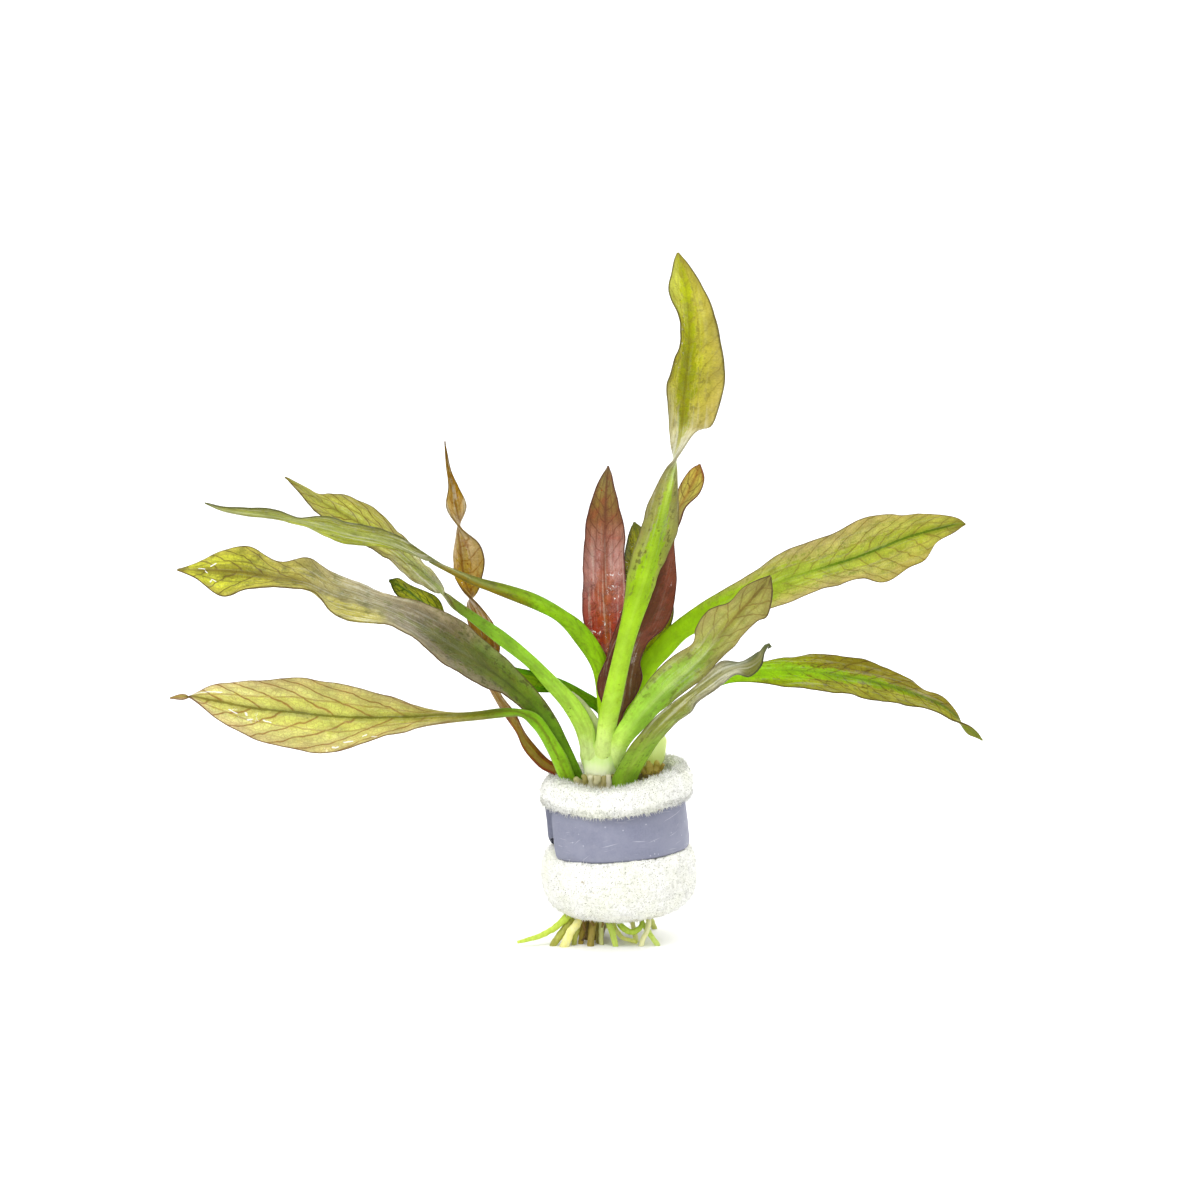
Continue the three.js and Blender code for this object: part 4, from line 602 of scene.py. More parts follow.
# Foam sleeve, as in the CAD source. Each row is radius, height and share of the rim's rise on the right.
FOAM_AXIS_X = 6.0
FOAM_WAIST_RADIUS = 13.1
RIM_RISE_RIGHT = 2.6
RIM_RISE_BACK = 0.8
RIM_DIP_FRONT = 0.9
FOAM_PROFILE = [
    [9.4, 6.5, 0.15],
    [13.4, 7.0, 0.2],
    [16.0, 9.4, 0.2],
    [17.25, 13.2, 0.1],
    [16.9, 17.2, 0.05],
    [15.6, 19.4, 0.1],
    [FOAM_WAIST_RADIUS, 19.9, 0.1],
    [FOAM_WAIST_RADIUS, 26.0, 0.2],
    [FOAM_WAIST_RADIUS, 32.4, 0.3],
    [16.4, 32.2, 0.6],
    [16.9, 31.1, 0.65],
    [17.4, 33.6, 0.6],
    [16.4, 36.0, 0.85],
    [14.2, 37.1, 1],
    [12.6, 36.2, 0.9],
    [10.2, 31.0, 0.4],
    [8.4, 24.0, 0.1],
    [8.1, 12.0, 0],
]
FOAM_HIDDEN_ROWS = (5, 6, 7, 8, 15, 16, 17)
FOAM_AROUND = 350
FOAM_FINE = 0.3
FOAM_COARSE = 1.1
FOAM_WAIST_ROWS = (6, 7, 8)
# The groove for the strip, and how the foam below it swells up to the strip's foot.
GROOVE_RADIUS = 14.4
GROOVE_BOTTOM = 20.4
GROOVE_TOP = 31.0
SHOULDER_ROW = 5
SWELL_ROWS = 2.2
SWELL_EVENED = 25
STRIP_FOOT_GAP = 0.15
# Its soft lumps, as lumps() takes them, its pores and the seam at the back.
FOAM_LUMPS = ((0.28, 0.16, 3), (0.16, 0.7, 5), (0.13, 1.9, 7))
PORE_SCALE = 1.5
PORE_SIZE = (0.05, 0.45)
PORE_DEPTH = 0.3
SEAM_DEPTH = 1.1
SEAM_WIDTH = 0.4
SEAM_RADIUS = 15
# Tufts all over the outside, of the lip and of the crest: how many, between which rows of the profile, the
# shortest and the longest in mm, and how much they droop. A tuft starts a little below the surface.
FOAM_TUFTS = ((7000, ((-1, 5.5), (9.6, 15.5)), 0.25, 0.8, 0.0), (2200, ((9.4, 10.7),), 0.4, 1.3, 0.9),
              (4500, ((12.3, 14.6),), 0.5, 1.3, -0.4))
FOAM_SEED = 11
TUFT_SPREAD = 0.75
TUFT_WIDTH = (0.06, 0.12)
TUFT_ROOT = 0.12

# Strip, as in the CAD source. Its lap is tucked in at one end and lifted at the other.
STRIP_STEPS = 300
STRIP_ROWS = 26
STRIP_CORNER = 1.3
STRIP_DENTS = ((0.14, 0.13, 21), (0.05, 0.5, 23))
STRIP_LIFT = 2.6
STRIP_LIFT_FROM_DEG = 322
STRIP_LIFT_TO_DEG = 352
STRIP_WIDTH = 11.4
STRIP_THICKNESS = 0.9
STRIP_AXIS_X = 5.7
STRIP_MID_RADIUS = 15.3
STRIP_FLARE = 0.08
STRIP_LEAN = 0.05
STRIP_TUCK = 1.3
STRIP_TUCK_FROM_DEG = 340
STRIP_TUCK_TO_DEG = 358
STRIP_START_DEG = -160
STRIP_TRIM_DEG = 4
STRIP_SWEEP_DEG = 402
STRIP_BOTTOM_Z = 20.05
STRIP_RISE_PER_TURN = 1.6
STRIP_TILT = math.radians(3.3)
STRIP_MID_Z = 26.0

# How each leaf is coloured. A ramp is a text of places and colours, or places and levels, in turn. Its places
# run from base, 0, to tip, 1, counted in stations.
# upper and under are the field on each face, mid the zone beside the midrib and edge the zone at the margins.
# blade is where the blade starts, and band how wide the middle zone is, in shares of the half width.
# sides paint one half: -1 for the a edge or 1 for the b edge, from which share outwards, from where to where,
# the colour and how much. wet is where water lies: from, to and how much. glints are painted highlights
# of water in thin white curls: from and to along the leaf, then from and to across. painted_glint_strokes are
# single painted highlights: where along and across, length, turn in degrees and width. They need size, the
# leaf's length and half width in mm. A leaf without slot has the slot of its own name.
LOOKS = {
    "leaf_left_low": dict(
        blade=0.47, through=0.36, ripple=0.28, mottle=0.2,
        upper="0 #A4DE50 .08 #8CDC2C .2 #6CCC14 .3 #66B412 .38 #7C8C1C .46 #B4B04E .54 #DCD878 .7 #E8EA8C "
              ".85 #F0F0A0 .93 #E8DE9E 1 #9A8058",
        under="0 #A9D660 .3 #6CB028 .5 #9CA458 .9 #B5A878 1 #8A6A48",
        mid=".3 #66860C .42 #70700E .5 #A8A838 .65 #D2DA6C .85 #DEE070 1 #BCB454",
        band="0 0 .32 .2 .42 .55 .5 .3 .62 .42 .9 .4 1 .2", zone=0.75,
        edge=".3 #A8A070 .45 #C8C29A .6 #D8CC8C .9 #DCC498 1 #A88A60",
        rib=".4 #6A6C14 .7 #7C7C24 1 #8A7430", ribs=".4 .4 .55 .95 .9 .9", vein="#9A6E34",
        veins=".42 .2 .55 .85 .85 .95 .95 .5", slant=(2.1, 7.8), stripe="0 .1 .3 .3 .45 .5 .6 .1",
        fleck="#5E6410", flecks=".25 .5 .45 .7 .6 .1 1 0", margin="#6E4C30", spots="#C4B070", speckle=0.1,
        wet=(0.6, 0.97, 0.15), size=(95, 8), bold=1.35, bright=1.06, glints=[(0.76, 0.83, -0.6, -0.15)],
        painted_glint_strokes=[(0.868, 0.64, 8.0, 16, 0.4), (0.9, 0.5, 1.2, -60, 0.3), (0.81, -0.3, 1.3, 30, 0.26),
                 (0.785, -0.42, 0.9, -40, 0.24), (0.79, -0.26, 0.8, 70, 0.22), (0.76, -0.36, 0.9, 15, 0.24),
                 (0.64, -0.78, 1.3, 10, 0.24), (0.615, -0.7, 0.7, -50, 0.22), (0.66, -0.88, 0.8, 0, 0.22),
                 (0.6, -0.86, 0.8, 35, 0.2)]),
    "leaf_left_wavy": dict(
        blade=0.24, through=0.24, ripple=0.16, mottle=0.5, cloud=0.17,
        upper="0 #80C832 .1 #5EA812 .2 #4C8E0E .28 #5E8420 .36 #6E6E3C .45 #6A6042 .52 #7E745A .6 #9E9670 "
              ".7 #AAA258 .78 #B8B248 .86 #D0D43C .94 #D6DA3C 1 #8A6A30",
        under="0 #6FB028 .3 #7E8E4A .6 #9A9570 1 #9A9452",
        mid="0 #66B01A .2 #58960E .32 #5C7A14 .42 #4A5A10 .52 #606428 .62 #98925A .74 #8E822A .84 #8C8818 "
            "1 #B0AC30", band="0 .3 .2 .8 .34 .6 .45 .4 .52 .15 .6 .1 .7 .25 .85 .3 1 .1", zone=0.8,
        edge="0 #5A8A20 .25 #8E8450 .4 #A49472 .6 #B8AA82 .8 #BCB04C 1 #B0A040",
        rib="0 #4E7A18 .35 #424E10 .5 #6E6C3A .62 #A8A078 .72 #7A7020 1 #7A6A18",
        ribs=".2 .3 .35 .85 .5 .4 .6 .1 .7 .6 .85 .9 1 .5",
        sides=[(-1, 0.2, 0.57, 0.75, "#BCB44A", 0.8), (-1, 0.1, 0.3, 0.45, "#7A7254", 0.7),
               (1, 0.35, 0.26, 0.42, "#5A8A1C", 0.55)],
        vein="#6E5C22", veins=".2 .15 .4 .3 .6 .3 .68 .6 .8 .95 .95 .8", slant=(1.5, 5.0),
        stripe=".3 0 .46 .08 .53 .4 .6 .8 .7 .3 .8 .1", fleck="#3E480C",
        flecks=".1 .4 .25 1 .46 1 .55 .3 .75 .6 1 .2", margin="#54401E", spots="#5C6418", speckle=0.3,
        bright=1.05, wet=(0.86, 0.97, 0.15), size=(110, 7),
        painted_glint_strokes=[(0.925, 0.12, 1.7, 25, 0.26), (0.9, 0.28, 1.5, -40, 0.24), (0.915, -0.1, 0.9, 60, 0.22),
                 (0.9, -0.46, 1.0, 20, 0.24), (0.907, -0.55, 0.8, -60, 0.22)]),
    "leaf_left_pale": dict(
        blade=0.5, through=0.24, ripple=0.15, mottle=0.45, cloud=0.18,
        upper="0 #9ADC48 .2 #78C01E .45 #6E8A2C .6 #8E9A52 1 #7C8240",
        under="0 #B4EC5C .1 #8CD626 .2 #74C012 .28 #68AA12 .33 #6E8A16 .4 #6A641A .46 #585628 .5 #807E50 "
              ".55 #969C58 .64 #A4A64C .75 #A4A64A .86 #9A9C46 .95 #969448 1 #5E6426",
        mid="0 #8CD62A .28 #78B818 .36 #7C8A2C .46 #8C8C5C .6 #B8C47C .75 #B4C464 1 #9CA45C",
        band="0 .5 .3 .4 .45 .3 .55 .5 1 .4", zone=0.6,
        edge=".3 #6E7A20 .42 #4E4A1C .5 #7A7444 .7 #969C5C 1 #6E7236", rib="0 #A4D85A .5 #C4C8A4 1 #C0C890",
        ribs=".3 .1 .5 .4 .7 .5 1 .3",
        sides=[(1, -0.05, 0.3, 0.46, "#8A701C", 0.85), (1, 0.1, 0.53, 0.8, "#B8C24C", 0.65)],
        vein="#6E7440", veins=".5 .4 1 .4", slant=(2.2, 5.0), stripe="0 .1 .3 .15 .4 .5 .48 1 .58 .6 1 .4",
        fleck="#4A4C1C", flecks=".25 .4 .35 .9 .48 .9 .55 .5 .9 .5 1 .3", margin="#44441E", spots="#7A8248",
        speckle=0.3, rich=1.15, wet=(0.4, 0.6, 0.3)),
    "leaf_left_high": dict(
        blade=0.5, through=0.36, ripple=0.3, mottle=0.35,
        upper="0 #B4E860 .4 #7CA83A .46 #9EA878 .52 #BCC29A .58 #B8BC80 .64 #BCBE66 .72 #C6C65C "
              ".82 #CCCE56 .93 #C0C254 1 #5E6A22",
        under="0 #D6F49E .04 #C0F072 .1 #AEEC58 .2 #96E03E .28 #7CCC2C .35 #64A820 .41 #6A741C "
              ".455 #6A6228 .5 #A8AE84 1 #9AA468",
        mid="0 #DAF6A8 .05 #BEF068 .2 #94E03E .33 #72BC2C .42 #728A24 .5 #A8B87C .58 #8EA84C .68 #BED04C "
            "1 #BCC444", band="0 .5 .3 .4 .45 .4 .6 .35 .75 .35 1 .3", zone=0.6,
        edge="0 #D0F094 .08 #B0E45C .2 #84CC34 .3 #5E9A1A .42 #3E4A14 .5 #8A8654 .6 #B4A868 1 #B0A250",
        rib=".4 #6A8A28 .55 #8A9A3C .7 #8A8428 1 #8A8428", ribs=".35 .3 .5 .5 .65 .8 .9 .7", vein="#806A22",
        veins=".5 .2 .62 .7 .7 1 .95 .9", slant=(1.9, 5.2), stripe="0 .1 .38 .2 .48 1 .62 .9 .7 .3 1 .1",
        fleck="#4A4A14", flecks=".28 .2 .4 .9 .48 .5 .58 .3 .7 .1", margin="#544A20", spots="#A8B048",
        speckle=0.15, wet=(0.5, 0.7, 0.3)),
    "leaf_left_short": dict(
        blade=0.52, through=0.3, ripple=0.15, mottle=0.6, shine=0.02,
        upper="0 #5EA81C .3 #46940E .46 #3C8A0C .54 #5E8A10 .62 #9A9E1C .8 #B0B020 .92 #969A28 1 #34440C",
        under="0 #5EA81C .3 #3E940E .46 #3C860C .54 #608A10 .62 #A0A21E .8 #B6B424 .92 #9A9C28 1 #38480E",
        mid="0 #56A416 .55 #A0B018 .9 #A0AC20 1 #6A7A14", band="0 .4 .6 .5 1 .3", zone=0.6,
        edge="0 #3A7A10 .6 #6A7410 .9 #5A6414 1 #2E3A0C", rib="0 #44860E 1 #34540C",
        ribs=".4 .3 .6 .9 1 .9", vein="#3A4C0A", veins=".5 .4 .62 1 1 .9", slant=(1.2, 3.4),
        stripe="0 .1 1 0", fleck="#2E4208", flecks=".45 .3 .6 .9 1 .8", margin="#20300A", spots="#5A640C",
        speckle=0.4, wet=(0.6, 0.95, 0.0)),
    "leaf_ochre_spiral": dict(
        slot="leaf_ochre", blade=0.2, through=0.34, ripple=0.2, mottle=0.3,
        upper="0 #7E5430 .06 #8E4A2C .14 #9A9C4C .22 #B4B47C .3 #CCB89C .35 #946A34 .42 #8E6A22 "
              ".48 #B0A088 .53 #E4D8CC .57 #C0A478 .64 #AC8A1C .72 #B09024 .79 #EADCC8 .84 #C8B48C "
              ".9 #B08A34 1 #54543A",
        under="0 #7E4A30 .06 #8A5634 .13 #8E8E48 .2 #A49C60 .3 #B8A482 .4 #A88438 .52 #D8CCBC .62 #AE9024 "
              ".78 #E0D4C0 .85 #BCA07A 1 #6E6444",
        mid="0 #8E9044 .16 #A0A458 .3 #AC9448 .6 #B69C30 1 #96884A", band="0 .3 .2 .5 .9 .3", zone=0.5,
        edge="0 #8A3424 .2 #9A5040 .35 #90682C .6 #A0822E 1 #86703A", rib="0 #A88660 .4 #784A24 1 #6A4A2A",
        ribs=".1 .5 .5 .7 1 .6",
        sides=[(-1, 0.1, 0.55, 0.95, "#CEBC86", 0.4), (-1, 0.25, 0.02, 0.26, "#7E3022", 0.75),
               (1, 0.35, 0.02, 0.26, "#7A3624", 0.6)],
        vein="#7E5424", veins=".1 .2 .3 .6 .9 .6", slant=(1.0, 3.4),
        stripe="0 .3 .4 .4 .52 .8 .62 .1 .74 .1 .8 .8 1 .6", fleck="#6A2E16", flecks="0 1 .2 1 .3 .6 1 .4",
        rich=1.22, margin="#4A3016", spots="#9A6A30", speckle=0.15, wet=(0.3, 0.8, 0.2)),
    "leaf_red_centre": dict(
        slot="leaf_red", blade=0.08, through=0.16, ripple=0.2, mottle=0.4,
        # The pale pink-grey of upper from .42 to .57 is partly the leaf's own colour and partly a painted
        # sheen.
        upper="0 #A03A24 .15 #B03018 .25 #B43A22 .34 #B2503C .42 #B87468 .5 #C4948C .57 #C0928A "
              ".63 #AC7866 .69 #8E6240 .76 #8C7238 .84 #948448 .92 #8C824E 1 #54443A",
        under="0 #8A4438 .5 #A07068 1 #7A5C40",
        mid="0 #8A2A18 .25 #A6421E .38 #B0582C .48 #AC6444 .6 #A06854 .72 #84582E 1 #866A3A",
        band="0 .3 .3 .35 .42 .45 .55 .2 .7 .15 1 .1", zone=0.7,
        edge="0 #8A2A22 .3 #9A4034 .5 #B07A6E .7 #80523A 1 #70643A",
        rib="0 #C08040 .3 #B06E34 .45 #8A4A30 .6 #6E3A2C 1 #5E4428", ribs="0 .6 .6 .7 1 .7", vein="#6A3A28",
        veins=".1 .1 .5 .3 .65 .75 .95 .6", slant=(1.2, 3.6), stripe=".1 .2 .4 .5 .55 .3 .7 0",
        fleck="#9A3A14", flecks=".1 .3 .3 .6 .5 .9 .56 .4 .62 .1", margin="#4E2620", spots="#A04A38",
        speckle=0.1, wet=(0.04, 0.5, 0.7), rich=1.04,
        glints=[(0.18, 0.33, -1.0, 0.7), (0.33, 0.52, 0.1, 1.0)]),
    "leaf_red_right": dict(
        slot="leaf_dark_red", blade=0.06, through=0.16, ripple=0.2, mottle=0.3,
        upper="0 #6E4A26 .1 #7E4A34 .2 #6E3C2C .32 #622E1C .5 #662E1C .62 #6A4430 .68 #94845C .74 #BCB458 "
              ".84 #CEC454 .93 #C4AC48 1 #7A281C", under="0 #7A4A40 .4 #7E5448 .75 #A88C44 1 #8A5A30",
        mid="0 #6A4A20 .3 #5E3C1A .6 #62321A .72 #B8A850 .8 #CCB850 1 #BC9830", band="0 .3 .4 .35 .9 .3",
        zone=0.6, edge="0 #86584A .3 #86482E .55 #7A3A26 .72 #A89058 .85 #A87C44 1 #8A2A1C",
        rib="0 #4A2A12 .6 #3E1A10 .8 #9A6A24 1 #7A2A1A", ribs="0 .6 1 .6",
        sides=[(1, 0.0, 0.05, 0.3, "#64481A", 0.75), (1, 0.35, 0.3, 0.6, "#8E4C34", 0.6),
               (1, 0.6, 0.88, 1.1, "#8A2E1E", 0.75)],
        vein="#5A3412", veins=".1 .3 .4 .4 .7 .3 .8 .75 1 .5", slant=(1.3, 3.6),
        stripe="0 .1 .22 .3 .3 .4 .38 .1 .7 0", fleck="#3E2010", flecks="0 .8 .2 .5 .6 .5 .75 .1",
        margin="#4E1E14", spots="#5C321C", speckle=0.15, rich=1.02, bright=0.92, wet=(0.2, 0.62, 0.08)),
    "leaf_dark_centre": dict(
        slot="leaf_dark", blade=0.2, through=0.24, ripple=0.15, mottle=0.4, shine=0.08,
        upper="0 #B4C818 .4 #B6C41C .6 #ACB020 .8 #A09E28 .92 #5C601E 1 #4A4638",
        under="0 #7AA81E .6 #8A9440 1 #6A7430", mid="0 #B8CC18 .8 #869220 1 #5A601C",
        band="0 .4 .5 .5 .9 .3", zone=0.5, edge="0 #96A01A .8 #6E701C 1 #3E3E24", rib="0 #7E8A1C 1 #4A5014",
        ribs="0 .6 1 .7", vein="#4E5414", veins="0 .4 1 .7", slant=(1.2, 3.2), stripe="0 .1 1 .1",
        fleck="#3E440C", flecks="0 .3 .6 .8 1 .8", margin="#363E12", spots="#66680E", speckle=0.2,
        # bright 1.25 lifts this leaf's colour against the shade it sits in behind the tallest leaf: painted
        # light.
        bright=1.25, wet=(0.45, 0.9, 0.6), glints=[(0.5, 0.85, -1.0, -0.4)]),
    "leaf_tallest": dict(
        blade=0.3, through=0.3, ripple=0.2, mottle=0.4,
        upper="0 #BCE870 .5 #E8EAD8 .56 #E4E2CC .61 #C8C080 .66 #BAB454 .75 #C0C048 .85 #C8C850 "
              ".93 #BCBA48 .97 #968C38 1 #5A4A2E",
        under="0 #D6F49E .03 #C2EC7C .08 #ADE45E .15 #A0DC50 .22 #96CC44 .27 #9CB050 .32 #9CA058 "
              ".4 #989858 .46 #A4A66C .49 #BEC298 .52 #DCDCC4 .56 #E0DEC8 1 #9A9450",
        mid="0 #D6F49E .03 #C2EC7C .1 #ABE25E .25 #97CE40 .36 #90BE34 .46 #A4C050 .52 #D4D8B4 .58 #B4B860 "
            ".64 #8E9A1C .76 #98A01E .86 #BAC83C 1 #B0B03A",
        band="0 .3 .14 .8 .22 .72 .3 .4 .38 .24 .46 .14 .52 .2 .6 .25 .8 .3 1 .2", zone=0.9,
        edge="0 #D0F094 .06 #B0E058 .18 #88C048 .27 #8A8250 .4 #928660 .48 #A8A07C .56 #D0CCB0 "
             ".65 #B8AA6C 1 #9C9640",
        rib="0 #D6F49E .3 #B0DC60 .46 #C8E888 .54 #C0B878 .62 #847C24 1 #6A701C",
        ribs="0 0 .2 .15 .32 .4 .46 .7 .56 .4 .64 .7 .8 .6 .88 .2 1 .2", vein="#8A7A2C",
        veins=".3 .1 .5 .1 .6 .35 .7 .45 .95 .35", slant=(1.5, 4.4),
        sides=[(1, 0.45, 0.6, 0.94, "#C0AE60", 0.35), (-1, 0.1, 0.83, 0.96, "#D2DA70", 0.6),
               (-1, 0.35, 0.55, 0.7, "#C8C49C", 0.5)],
        stripe="0 .1 .3 .2 .42 .4 .5 1 .6 .7 .68 .1", fleck="#585220",
        flecks=".2 .2 .28 1 .44 1 .5 .3 .6 .6 .75 .6 1 .2", margin="#5A5028", spots="#A8984E", speckle=0.3,
        rich=1.08, wet=(0.6, 0.85, 0.25), glints=[(0.72, 0.86, -0.9, -0.3)]),
    "leaf_right_front": dict(
        slot="leaf_right", blade=0.3, through=0.3, ripple=0.2, mottle=0.25,
        upper="0 #BCE870 .4 #8CBE3C .7 #98A04C 1 #7A7434",
        under="0 #D2F298 .05 #BCEC6C .14 #9ADE4E .26 #8ECA44 .34 #9ABC4E .42 #A4B456 .5 #AEB65E "
              ".6 #B4B462 .8 #B0AE5E .93 #9E984C 1 #484428",
        mid="0 #D2F298 .06 #BAEC6C .2 #94D64A .32 #8AC844 .45 #90BE48 .6 #A4B04C .75 #ACAC50 1 #A6A250",
        band="0 .3 .2 .8 .35 .6 .5 .4 .6 .2 .8 .3 1 .2", zone=0.8,
        edge="0 #C8EC88 .1 #98D048 .25 #94A24C .4 #9C905C .6 #AE9E62 1 #8C8048",
        rib="0 #C0E080 .35 #C4DC90 .5 #B8C88C .58 #8E7E38 .75 #7A6428 1 #5E4A20",
        ribs=".15 .1 .35 .5 .5 .4 .56 .4 .7 .8 1 .8", vein="#7A5E28",
        veins=".25 .1 .45 .25 .6 .55 .75 .7 .95 .6", slant=(1.5, 4.8), bright=1.08,
        stripe="0 .1 .3 .25 .5 .4 .6 .1 .8 0", fleck="#5E6420", flecks=".15 .2 .28 .8 .45 .7 .6 .3 .8 .2",
        margin="#564422", spots="#8A962E", speckle=0.25, wet=(0.3, 0.5, 0.1)),
    "leaf_right_low": dict(
        slot="leaf_right", blade=0.3, through=0.24, ripple=0.16, mottle=0.2,
        upper="0 #92D040 .12 #82C034 .22 #80B438 .3 #8AA848 .38 #92A648 .48 #9CA458 .56 #ACAC74 "
              ".66 #C8C6AC .75 #B4B494 .82 #7E8440 .9 #6A703E 1 #485834",
        under="0 #93C83C .4 #9AA860 .7 #B2A884 1 #6A7440",
        mid="0 #8ECC34 .22 #80B034 .32 #7E8A28 .45 #8E8C34 .55 #8A9040 .7 #B4B69A .8 #70782C 1 #566640",
        band="0 .3 .2 .4 .4 .3 .6 .25 .8 .35 1 .2", zone=0.7,
        edge="0 #76A828 .25 #7E8440 .6 #A89C7C 1 #5A6640", rib="0 #A0C850 .4 #A8A45C 1 #B4AC8C",
        ribs=".2 .3 .5 .5 1 .4",
        sides=[(-1, 0.3, 0.66, 1.1, "#5E7058", 0.6), (-1, 0.3, 0.2, 0.5, "#7E7A30", 0.6),
               (1, 0.3, 0.45, 0.75, "#CCC8AC", 0.5), (1, 0.1, 0.74, 0.9, "#7A7E2C", 0.75)],
        vein="#625A2C", veins=".2 .2 .5 .4 1 .3", slant=(1.8, 5.0),
        stripe="0 .1 .25 .3 .4 .6 .6 .8 .75 .6 .85 .2", fleck="#565A1C",
        flecks=".08 .4 .2 .8 .45 .9 .6 .5 .75 .3 .85 .6", margin="#38381C", spots="#76783A", speckle=0.35,
        wet=(0.3, 0.6, 0.1)),
    "leaf_right_high": dict(
        slot="leaf_yellow", blade=0.36, through=0.36, ripple=0.3, mottle=0.25,
        upper="0 #A4E43A .12 #98DE1C .26 #98D82A .36 #A8CC44 .44 #BEC45A .52 #CCC870 .6 #D0CC76 "
              ".75 #CCCC64 .9 #C4C652 1 #4A561C", under="0 #A2DC48 .5 #A6B054 1 #8A8A44",
        mid="0 #98E018 .35 #98D02C .5 #ACCC40 .65 #B6CA44 .8 #B0BE3C 1 #98A432",
        band="0 .3 .26 .8 .38 .6 .5 .45 .62 .4 .8 .3 1 .2", zone=0.75,
        edge="0 #98E018 .28 #B0B454 .4 #CCBC84 .55 #D4C08C .75 #CCB86C 1 #B0A04C",
        rib="0 #8CCC20 .45 #80AC24 .6 #5E8414 1 #4E6A14", ribs=".3 .2 .5 .5 .6 1 .9 .9", vein="#8A7430",
        veins=".3 .1 .42 .4 .6 .75 .9 .75", slant=(1.4, 4.6), stripe="0 .15 .4 .2 1 .1", fleck="#7C9420",
        flecks=".2 .2 .32 .6 .5 .8 .7 .7 1 .2", margin="#5E4C22", spots="#A0B040", speckle=0.35, rich=1.04,
        wet=(0.45, 0.8, 0.12), bright=1.02),
    "leaf_right_long": dict(
        slot="leaf_yellow", blade=0.28, through=0.34, ripple=0.25, mottle=0.3,
        upper="0 #A0E632 .1 #90DE1C .25 #8CD61C .36 #98C430 .45 #A4AA3E .6 #AAA848 .72 #ACA844 "
              ".82 #B0AC3E .9 #B0B84A .96 #9CB054 1 #6A803A", under="0 #9AD83C .6 #A0A658 1 #7E8C4A",
        mid="0 #90DE1C .4 #90D81C .52 #8CC41C .75 #8CAC20 1 #98AC48",
        band="0 .3 .26 .7 .38 .45 .5 .24 .75 .15 .85 .1 1 .1", zone=0.85,
        edge="0 #84D812 .32 #9C9C3A .45 #968C38 .7 #968E36 1 #8A8A3C",
        rib="0 #7CC818 .45 #6A9A1A .7 #5A6A14 1 #6E8E2A", ribs=".3 .3 .5 .8 .8 .8 .9 .2",
        sides=[(1, 0.1, 0.42, 0.85, "#B4B854", 0.6), (-1, 0.1, 0.4, 0.8, "#8E8230", 0.5)], vein="#6A5420",
        veins=".3 .2 .45 .75 .8 .75 .9 .2", slant=(1.5, 4.4), stripe="0 .15 .4 .3 1 .1", fleck="#5C5A14",
        flecks=".25 .3 .4 .9 .7 .9 .85 .3", margin="#4E3E1A", spots="#8E8030", speckle=0.35, rich=1.12,
        wet=(0.4, 0.7, 0.1)),
    "crown_sheath": dict(
        slot="crown", blade=0.9, through=0.4, ripple=0.0, mottle=0.1,
        upper="0 #D2E8A0 .6 #CDDAA6 1 #B8B88A", under="0 #D2E8A0 .6 #CDDAA6 1 #B8B88A",
        mid="0 #D0E0A0 1 #C8D0A0", band="0 .3 1 .3", zone=0.3, edge="0 #C0CC90 1 #B0B88A",
        rib="0 #D0E0A0 1 #C8D0A0", ribs="0 .1 1 .1", vein="#B0BC80", veins="0 .1 1 .1", slant=(1.5, 4.0),
        stripe="0 .6 1 .6", fleck="#B0BC80", flecks="0 .2 1 .2", margin="#98986A", spots="#C4D094",
        speckle=0.0, wet=(0.2, 0.8, 0.1)),
}


def seen(across, up, depth):
    """A point as the eye sees it, across and up, turned into a place in space at a depth."""
    forward = np.array([0, math.cos(EYE_ELEVATION), -math.sin(EYE_ELEVATION)])
    upward = np.array([0, math.sin(EYE_ELEVATION), math.cos(EYE_ELEVATION)])
    eye = EYE_TARGET - forward * EYE_DISTANCE
    on_plane = EYE_TARGET + upward * (up - EYE_CENTRE_UP)
    on_plane = on_plane + np.array([across - EYE_CENTRE_ACROSS, 0, 0])
    return eye + (on_plane - eye) * (depth - eye[1]) / (on_plane[1] - eye[1])


def through(rows, t, closed=False):
    """Smooth values through rows at the places t, counted in rows."""
    rows = np.asarray(rows, float)
    last = len(rows) - 1
    if closed:
        padded = np.vstack([rows[-1], rows, rows[0], rows[1]])
        i = np.clip(np.floor(t).astype(int), 0, last)
    else:
        padded = np.vstack([2 * rows[0] - rows[1], rows, 2 * rows[-1] - rows[-2]])
        i = np.clip(np.floor(t).astype(int), 0, last - 1)
    f = (t - i)[:, None]
    a, b, c, d = (padded[i + k] for k in range(4))
    square, cube = 2 * a - 5 * b + 4 * c - d, 3 * b - a - 3 * c + d
    return 0.5 * (2 * b + (c - a) * f + square * f ** 2 + cube * f ** 3)


def smooth(value, low, high):
    """Runs softly from 0 at low to 1 at high."""
    x = np.clip((np.asarray(value, float) - low) / (high - low), 0, 1)
    return x * x * (3 - 2 * x)


def unit(vectors):
    return vectors / np.maximum(np.linalg.norm(vectors, axis=-1, keepdims=True), 1e-9)


def even_places(rows, spacing):
    """Places along a smooth curve through rows that are evenly spaced, and the run in mm to each."""
    fine = np.linspace(0, len(rows) - 1, 40 * len(rows))
    path = through(rows, fine)[:, :3]
    run = np.concatenate([[0], np.cumsum(np.linalg.norm(np.diff(path, axis=0), axis=1))])
    even = np.linspace(0, run[-1], int(run[-1] / spacing) + 2)
    return np.interp(even, run, fine), even


def bumpy(points, scale, offset):
    """Soft noise from -1 to 1 at each point, its lumps 1 / scale mm wide."""
    shift = Vector((offset, offset * 0.37, -offset * 0.71))
    return np.array([noise.noise(Vector(p) * scale + shift) for p in points])


